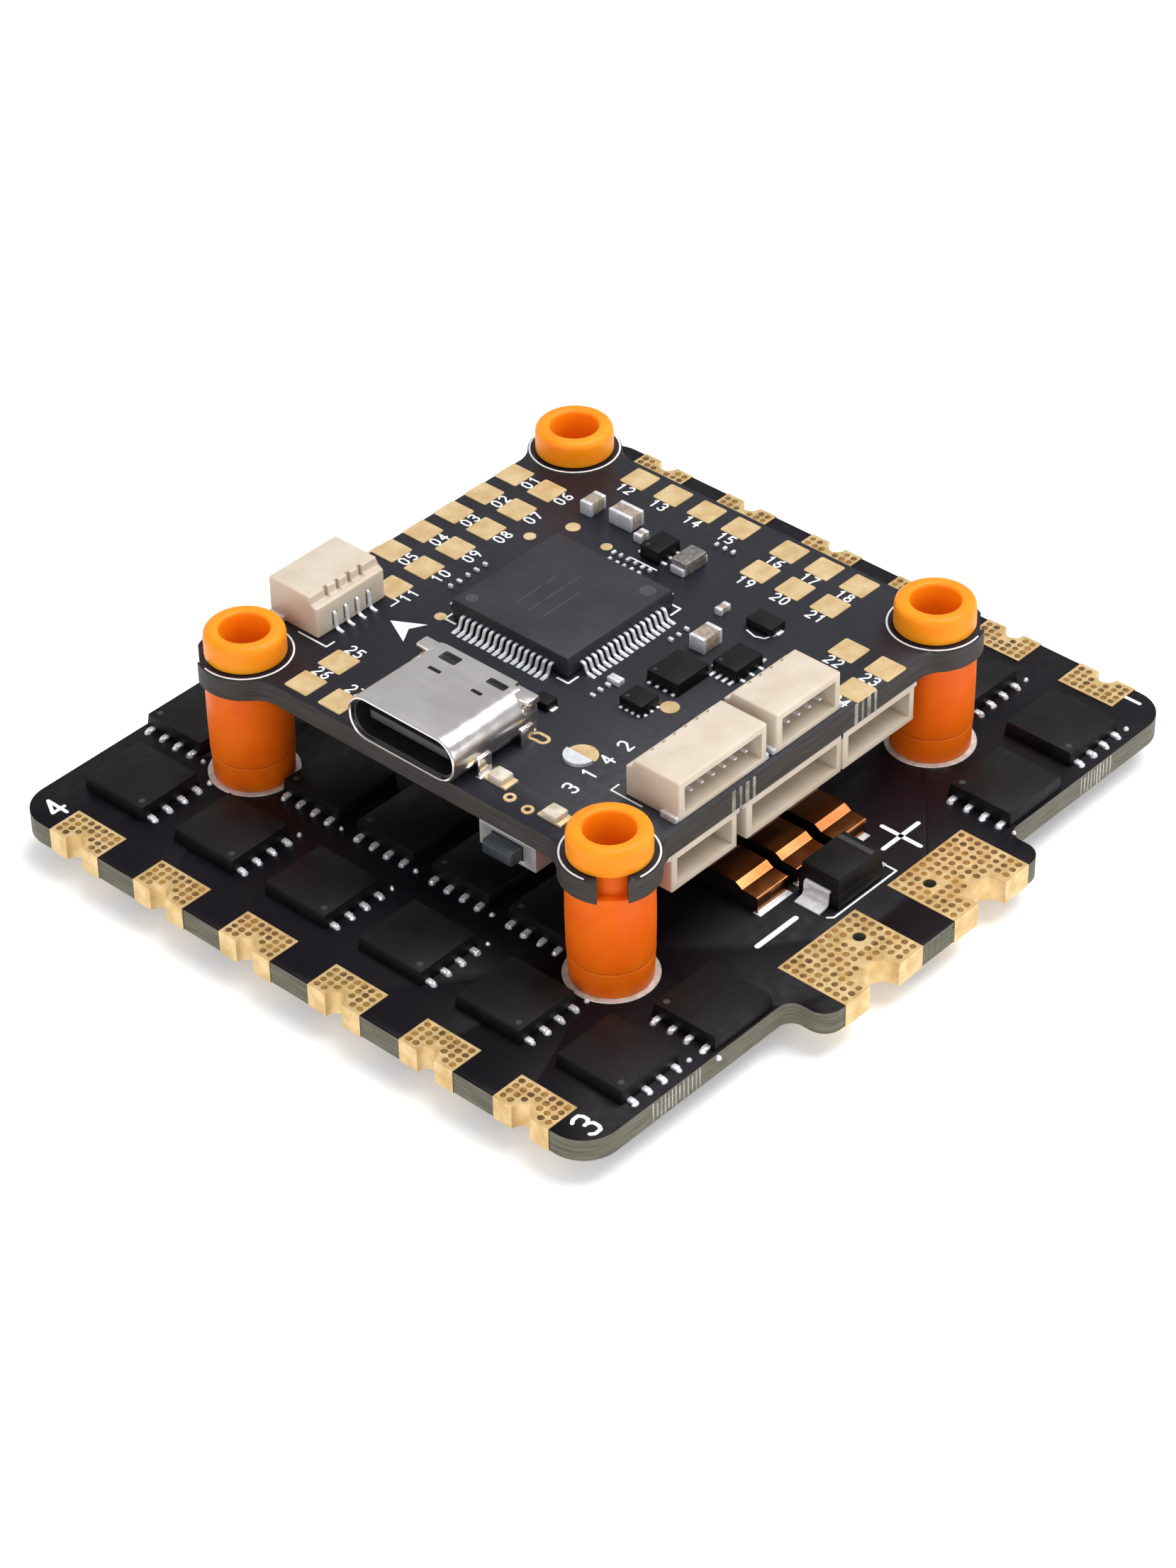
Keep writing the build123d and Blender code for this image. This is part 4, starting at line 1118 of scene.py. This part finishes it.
def stadium(half_y, half_z, corner, steps=8):
    """A rounded rectangle round the socket's axis, as points in Y and Z."""
    rim = []
    for cy, cz, start in ((1, 1, 0), (-1, 1, 90), (-1, -1, 180), (1, -1, 270)):
        for i in range(steps + 1):
            a = math.radians(start + 90 * i / steps)
            rim.append((cy * (half_y - corner) + corner * math.cos(a),
                        shell_mid_z + cz * (half_z - corner) + corner * math.sin(a)))
    return rim


def sleeve(shape, stations, ends=False):
    """A tube or, with ends, a plug through outlines along X. A station is an x and its outline."""
    loft(shape, [[(x, y, z) for y, z in rim] for x, rim in stations], ends)


half_y, half_z = (shell_high.y - shell_low.y) / 2, (shell_high.z - shell_low.z) / 2
mouth, tail = shell_low.x, shell_high.x
tube = bmesh.new()
shell_stations = [(mouth + 0.1, 0.02, 1.49), (mouth + 0.28, 0, 1.5), (tail, 0, 1.5),
                  (tail, 0.3, 1.2), (mouth + 0.3, 0.3, 1.2), (mouth + 0.06, 0.24, 1.26),
                  (mouth, 0.15, 1.36), (mouth + 0.02, 0.07, 1.44)]
sleeve(tube, [(x, stadium(half_y - inset, half_z - inset, corner))
              for x, inset, corner in shell_stations])
opening = bmesh.new()
brick(opening, (-0.5, 0.5), (-0.5, 0.5), (-0.5, 0.5), 0.12)
opening_thing = loose_object("opening", plain_mesh(opening, "opening"))
shell_openings = [((-10.62, 1.9), (0.85, 1.4)), ((-10.7, -2.1), (0.6, 1.5)),
                  ((-12.1, 1.8), (0.3, 1.0)),
                  ((-12.1, -1.7), (0.3, 0.85)), ((-9.65, -4.0), (0.9, 2.2))]
openings_thing = marks_object([{"at": (x, y, shell_high.z - 0.1), "size": (dx, dy, 0.9)}
                               for (x, y), (dx, dy) in shell_openings])
shell_mesh = pierced("socket_shell", tube, opening_thing, openings_thing, nickel)
discard(opening_thing, openings_thing)
ride_mesh("socket_shell", shell_mesh, ["usb_shell"])
ears = bmesh.new()
for side in (-1, 1):
    for x0, x1 in ((-15.05, -13.95), (-11.3, -10.2)):
        y_ends = sorted((side * (half_y - 0.12), side * (half_y + 0.16)))
        brick(ears, (x0, x1), y_ends, (fc_top - 0.7, fc_top + 1.3), 0.08)
    brick(ears, (-10.9, -9.75), sorted((side * (half_y - 0.35), side * (half_y - 0.05))),
          (fc_top + 0.4, fc_top + 2.5), 0.08)
    brick(ears, (-10.75, -9.75), sorted((side * (half_y - 1.5), side * (half_y + 0.25))),
          (fc_top + 2.72, fc_top + 3.18), 0.1)
    brick(ears, (-15.3, -13.7), sorted((side * (half_y - 0.05), side * (half_y + 0.45))),
          (fc_top - 0.02, fc_top + 0.14), 0.06)
add_piece("socket_shell_tabs", ears, [nickel])
slot_ring = bmesh.new()
slot_arcs = [(math.radians(start + a), cy) for start, cy in ((0, 1), (180, -1))
             for a in range(0, 181, 20)]
loft(slot_ring, [[(-9.85 + r * math.cos(a), -4.75 + cy * 0.25 + r * math.sin(a), fc_top + lift)
                  for a, cy in slot_arcs]
                 for r, lift in ((0.46, -0.01), (0.46, 0.05), (0.24, 0.05), (0.24, -0.01))], False)
add_piece("socket_anchor_ring", slot_ring, [fine_gold])
socket_black = new_finish("socket_insulator", (0.008, 0.008, 0.009), 0.5)
tint(socket_black, grain(socket_black, 2), (0.006, 0.006, 0.007), (0.014, 0.014, 0.015))
relief(socket_black, grain(socket_black, 12), 0.006)
insulator = bmesh.new()
sleeve(insulator, [(mouth + 4.6, stadium(half_y - 0.27, half_z - 0.27, 1.2)),
                   (tail - 0.02, stadium(half_y - 0.27, half_z - 0.27, 1.2))], ends=True)
sleeve(insulator, [(x, stadium(half_y - wall, half_z - wall, 1.5 - wall)) for x, wall in
                   ((mouth + 0.34, 0.28), (mouth + 4.8, 0.28), (mouth + 4.8, 0.4),
                    (mouth + 0.34, 0.4))])
brick(insulator, (mouth + 0.75, mouth + 4.7), (-3.3, 3.3),
      (shell_mid_z - 0.34, shell_mid_z + 0.34), 0.1, 1)
tongue_grey = new_finish("socket_tongue_plastic", (0.030, 0.030, 0.038), 0.4)
tint(tongue_grey, grain(tongue_grey, 2), (0.024, 0.024, 0.031), (0.038, 0.038, 0.047))
relief(tongue_grey, grain(tongue_grey, 12), 0.004)
add_piece("socket_tongue", insulator, [socket_black, tongue_grey],
          ["usb_tongue"])
blade = bmesh.new()
brick(blade, (-1.0, 1.0), (-0.12, 0.12), (-0.02, 0.02), 0.01, steps=1)
blades = [{"at": (mouth + 3.7, (i - 5.5) * 0.5, shell_mid_z + side * 0.35)}
          for side in (-1, 1) for i in range(12)]
stamp("socket_contacts", blade, blades, fine_gold, ["usb_contacts"])

# ---- Wire sockets ----
# Cream nylon housings for 1 mm pitch plugs: a hollow box with an open mouth, a lower step at
# the rear where the tin contacts come out, and a solder nail at each side of the mouth.
nylon = new_finish("cream_nylon", (0.61, 0.53, 0.435), 0.42)
tint(nylon, grain(nylon, 0.5), (0.585, 0.495, 0.395), (0.645, 0.56, 0.465))
uneven_gloss(nylon, grain(nylon, 2), 0.36, 0.5)
relief(nylon, grain(nylon, 9), 0.008, 0.6)
let_light_in(nylon, 0.25, (0.6, 0.4, 0.25), 0.001)
wire_sockets = [("rear_left_connector", 6, -6.6, -16.6, fc_top, 1, -1),
                ("rear_right_connector", 4, 1.3, -16.6, fc_top, 1, -1),
                ("front_connector", 4, -8.4, 16.95, fc_top, 1, 1),
                ("under_left_connector", 4, -8.7, -16.95, fc_under, -1, -1),
                ("under_middle_connector", 7, -0.35, -16.95, fc_under, -1, -1),
                ("under_right_connector", 5, 7.75, -16.95, fc_under, -1, -1),
                ("esc_signal_connector", 8, 0.0, 23.85, esc_top, 1, 1)]
case_deep, case_tall, case_wall = 4.25, 2.9, 0.5
step_deep, step_tall = 0.6, 2.25
cavity = bmesh.new()
brick(cavity, (-0.5, 0.5), (-0.5, 0.5), (-0.5, 0.5))
cavity_thing = loose_object("cavity", plain_mesh(cavity, "cavity"))


def drawn_outline(shape, outline, x0, x1, soft):
    """A solid with an outline in Y and Z drawn out between two values of X, its edges rounded."""
    loft(shape, [[(x, y, z) for y, z in outline] for x in (x0, x1)])
    soften(shape, soft, shape.edges[:], 3)


tines, nails = [], []
for name, pins, x, mouth_y, seat, rise, face_way in wire_sockets:
    half = (pins + 2) / 2
    back_y = mouth_y - face_way * case_deep
    case = bmesh.new()
    step_y = back_y + face_way * step_deep
    outline = [(mouth_y, seat), (mouth_y, seat + rise * case_tall),
               (step_y, seat + rise * case_tall), (step_y, seat + rise * step_tall),
               (back_y, seat + rise * step_tall), (back_y, seat)]
    drawn_outline(case, outline, x - half, x + half, 0.13)
    middle_z = seat + rise * case_tall / 2
    pin_places = [x + i - (pins - 1) / 2 for i in range(pins)]
    cuts = [{"at": (x, mouth_y - face_way * 1.35, middle_z),
             "size": (2 * half - 2 * case_wall, 3.5, case_tall - 2 * case_wall)}]
    cuts += [{"at": (pin_x, back_y, seat + rise * 0.75), "size": (0.42, 1.1, 1.3)}
             for pin_x in pin_places]
    cuts += [{"at": (pin_x, step_y, seat + rise * (case_tall - 0.1)), "size": (0.34, 0.5, 1.2)}
             for pin_x in pin_places]
    cuts_thing = marks_object(cuts)
    case_mesh = pierced(name + "_case", case, cavity_thing, cuts_thing, nylon)
    discard(cuts_thing)
    ride_mesh(name + "_case", case_mesh, [name + "_housing"])
    tine_turn = (0, 0, 90 * face_way) if rise > 0 else (180, 0, -90 * face_way)
    tines += [{"at": (pin_x, back_y, seat), "turn": tine_turn} for pin_x in pin_places]
    for side in (-1, 1):
        nails.append({"at": (x + side * (half + 0.08), mouth_y - face_way * 0.7,
                             seat + rise * 0.24),
                      "size": (0.4, 1.3, 0.5)})
discard(cavity_thing)
tine = bmesh.new()
bent_strip(tine, [(3.9, 1.45), (0.35, 1.45), (-0.05, 1.3), (-0.15, 0.1), (-0.72, 0.05)],
           0.22, 0.12, 0.25)
stamp("wire_socket_contacts", tine, tines, bright_tin,
      [name + "_contacts" for name, *rest in wire_sockets])
nail = bmesh.new()
brick(nail, (-0.5, 0.5), (-0.5, 0.5), (-0.5, 0.5), 0.16)
stamp("wire_socket_nails", nail, nails, bright_tin)

# ---- Start-up button ----
# A side push switch hangs under the upper board's left edge. Its dark slider is held out by a
# spring inside a pressed steel frame and moves 0.25 mm when pushed.
steel = new_finish("button_steel", (0.62, 0.61, 0.60), 0.35, 0.7)
tint(steel, grain(steel, 0.8), (0.56, 0.55, 0.54), (0.70, 0.69, 0.68))
uneven_gloss(steel, grain(steel, 1.5), 0.28, 0.4)
relief(steel, grain(steel, 4), 0.002, 0.4)
frame_low, frame_high = box_mm("button_frame")
steel_frame = cad_shell("button_frame")
soften(steel_frame, 0.05)
add_piece("button_case", steel_frame, [steel], ["button_frame"])
button_slate = new_finish("button_slate", (0.022, 0.028, 0.036), 0.4)
tint(button_slate, grain(button_slate, 1.5), (0.017, 0.022, 0.029), (0.032, 0.039, 0.049))
uneven_gloss(button_slate, grain(button_slate, 4), 0.34, 0.5)
relief(button_slate, grain(button_slate, 12), 0.006)
slider = cad_shell("button_plunger")
soften(slider, 0.09, steps=3)
add_piece("button_slider", slider, [button_slate], ["button_plunger"],
          body="boot_button")
spring_leaf = cad_shell("button_spring")
soften(spring_leaf, 0.02)
add_piece("button_spring_leaf", spring_leaf, [steel], ["button_spring"])

# ---- Silicone grommets ----
# Soft orange silicone bushings carry the upper board and keep motor vibration away from it.
# The lower ones sit in the lower board, the upper ones are flanged over the upper board.
silicones = []
# One silicone in two tones: the lighter tone is painted light for the upper caps and the bores, the
# other is the body's own tone.
for name, dark, light in (("orange_silicone_thick", (0.86, 0.128, 0.0006), (0.93, 0.165, 0.0008)),
                          ("orange_silicone_thin", (1.0, 0.255, 0.002), (1.0, 0.315, 0.004))):
    silicone = new_finish(name, light, 0.45)
    tint(silicone, grain(silicone, 0.35), dark, light)
    uneven_gloss(silicone, grain(silicone, 1.2), 0.36, 0.52)
    relief(silicone, grain(silicone, 5), 0.008, 0.5)
    let_light_in(silicone, 0.5, (1.0, 0.36, 0.03), 0.0011)
    shader_of(silicone).inputs["Specular IOR Level"].default_value = 0.3
    silicones.append(silicone)


def rounded_ring(corners):
    """A closed outline of radius and height whose corners are arcs of the given radii."""
    ring = []
    for i, (r, z, soft) in enumerate(corners):
        here = Vector((r, z))
        before, after = Vector(corners[i - 1][:2]), Vector(corners[(i + 1) % len(corners)][:2])
        start = here + (before - here).normalized() * soft
        end = here + (after - here).normalized() * soft
        ring += [tuple((1 - t) ** 2 * start + 2 * t * (1 - t) * here + t * t * end)
                 for t in (k / 5 for k in range(6))]
    return ring


bore, neck, flange, barrel = 1.6, 2.1, 2.62, 2.75
lower_top, upper_foot, waist, cap_top = 5.38, 5.42, 8.3, 14.55
lower_outline = rounded_ring([(bore, 0.0, 0.15), (flange, 0.0, 0.2),
                              (flange, esc_low.z - 0.01, 0.08),
                              (neck, esc_low.z, 0.04), (neck, esc_top, 0.04),
                              (flange, esc_top + 0.06, 0.06),
                              (flange + 0.06, lower_top, 0.12), (bore, lower_top, 0.1)])
upper_outline = rounded_ring([(bore, upper_foot, 0.1), (barrel - 0.04, upper_foot, 0.14),
                              (barrel, waist, 0.6), (barrel - 0.02, fc_under - 0.02, 0.1),
                              (neck, fc_under, 0.04), (neck, fc_top, 0.04),
                              (flange, fc_top + 0.06, 0.06),
                              (flange, cap_top, 0.55), (bore, cap_top, 0.3)])
for (x, y), place in zip(screw_places, ("rear_left", "rear_right", "front_left", "front_right")):
    for level_name, node, outline in (("lower", "esc_grommet_" + place, lower_outline),
                                      ("upper", "fc_grommet_" + place, upper_outline)):
        bushing = bmesh.new()
        lathe(bushing, x, y, outline, 56)
        for face in bushing.faces:
            spot = face.calc_center_median()
            # Painted light: faces of the upper caps and of the bores take the lighter tone, so the
            # caps read lit from above and the bores are brightened where shade would fall.
            thin = spot.z > fc_top - 0.3 or math.hypot(spot.x - x, spot.y - y) < 1.75
            face.material_index = 1 if thin else 0
        add_piece(f"{level_name}_grommet_{place}", bushing, silicones, [node],
                  crease=50)
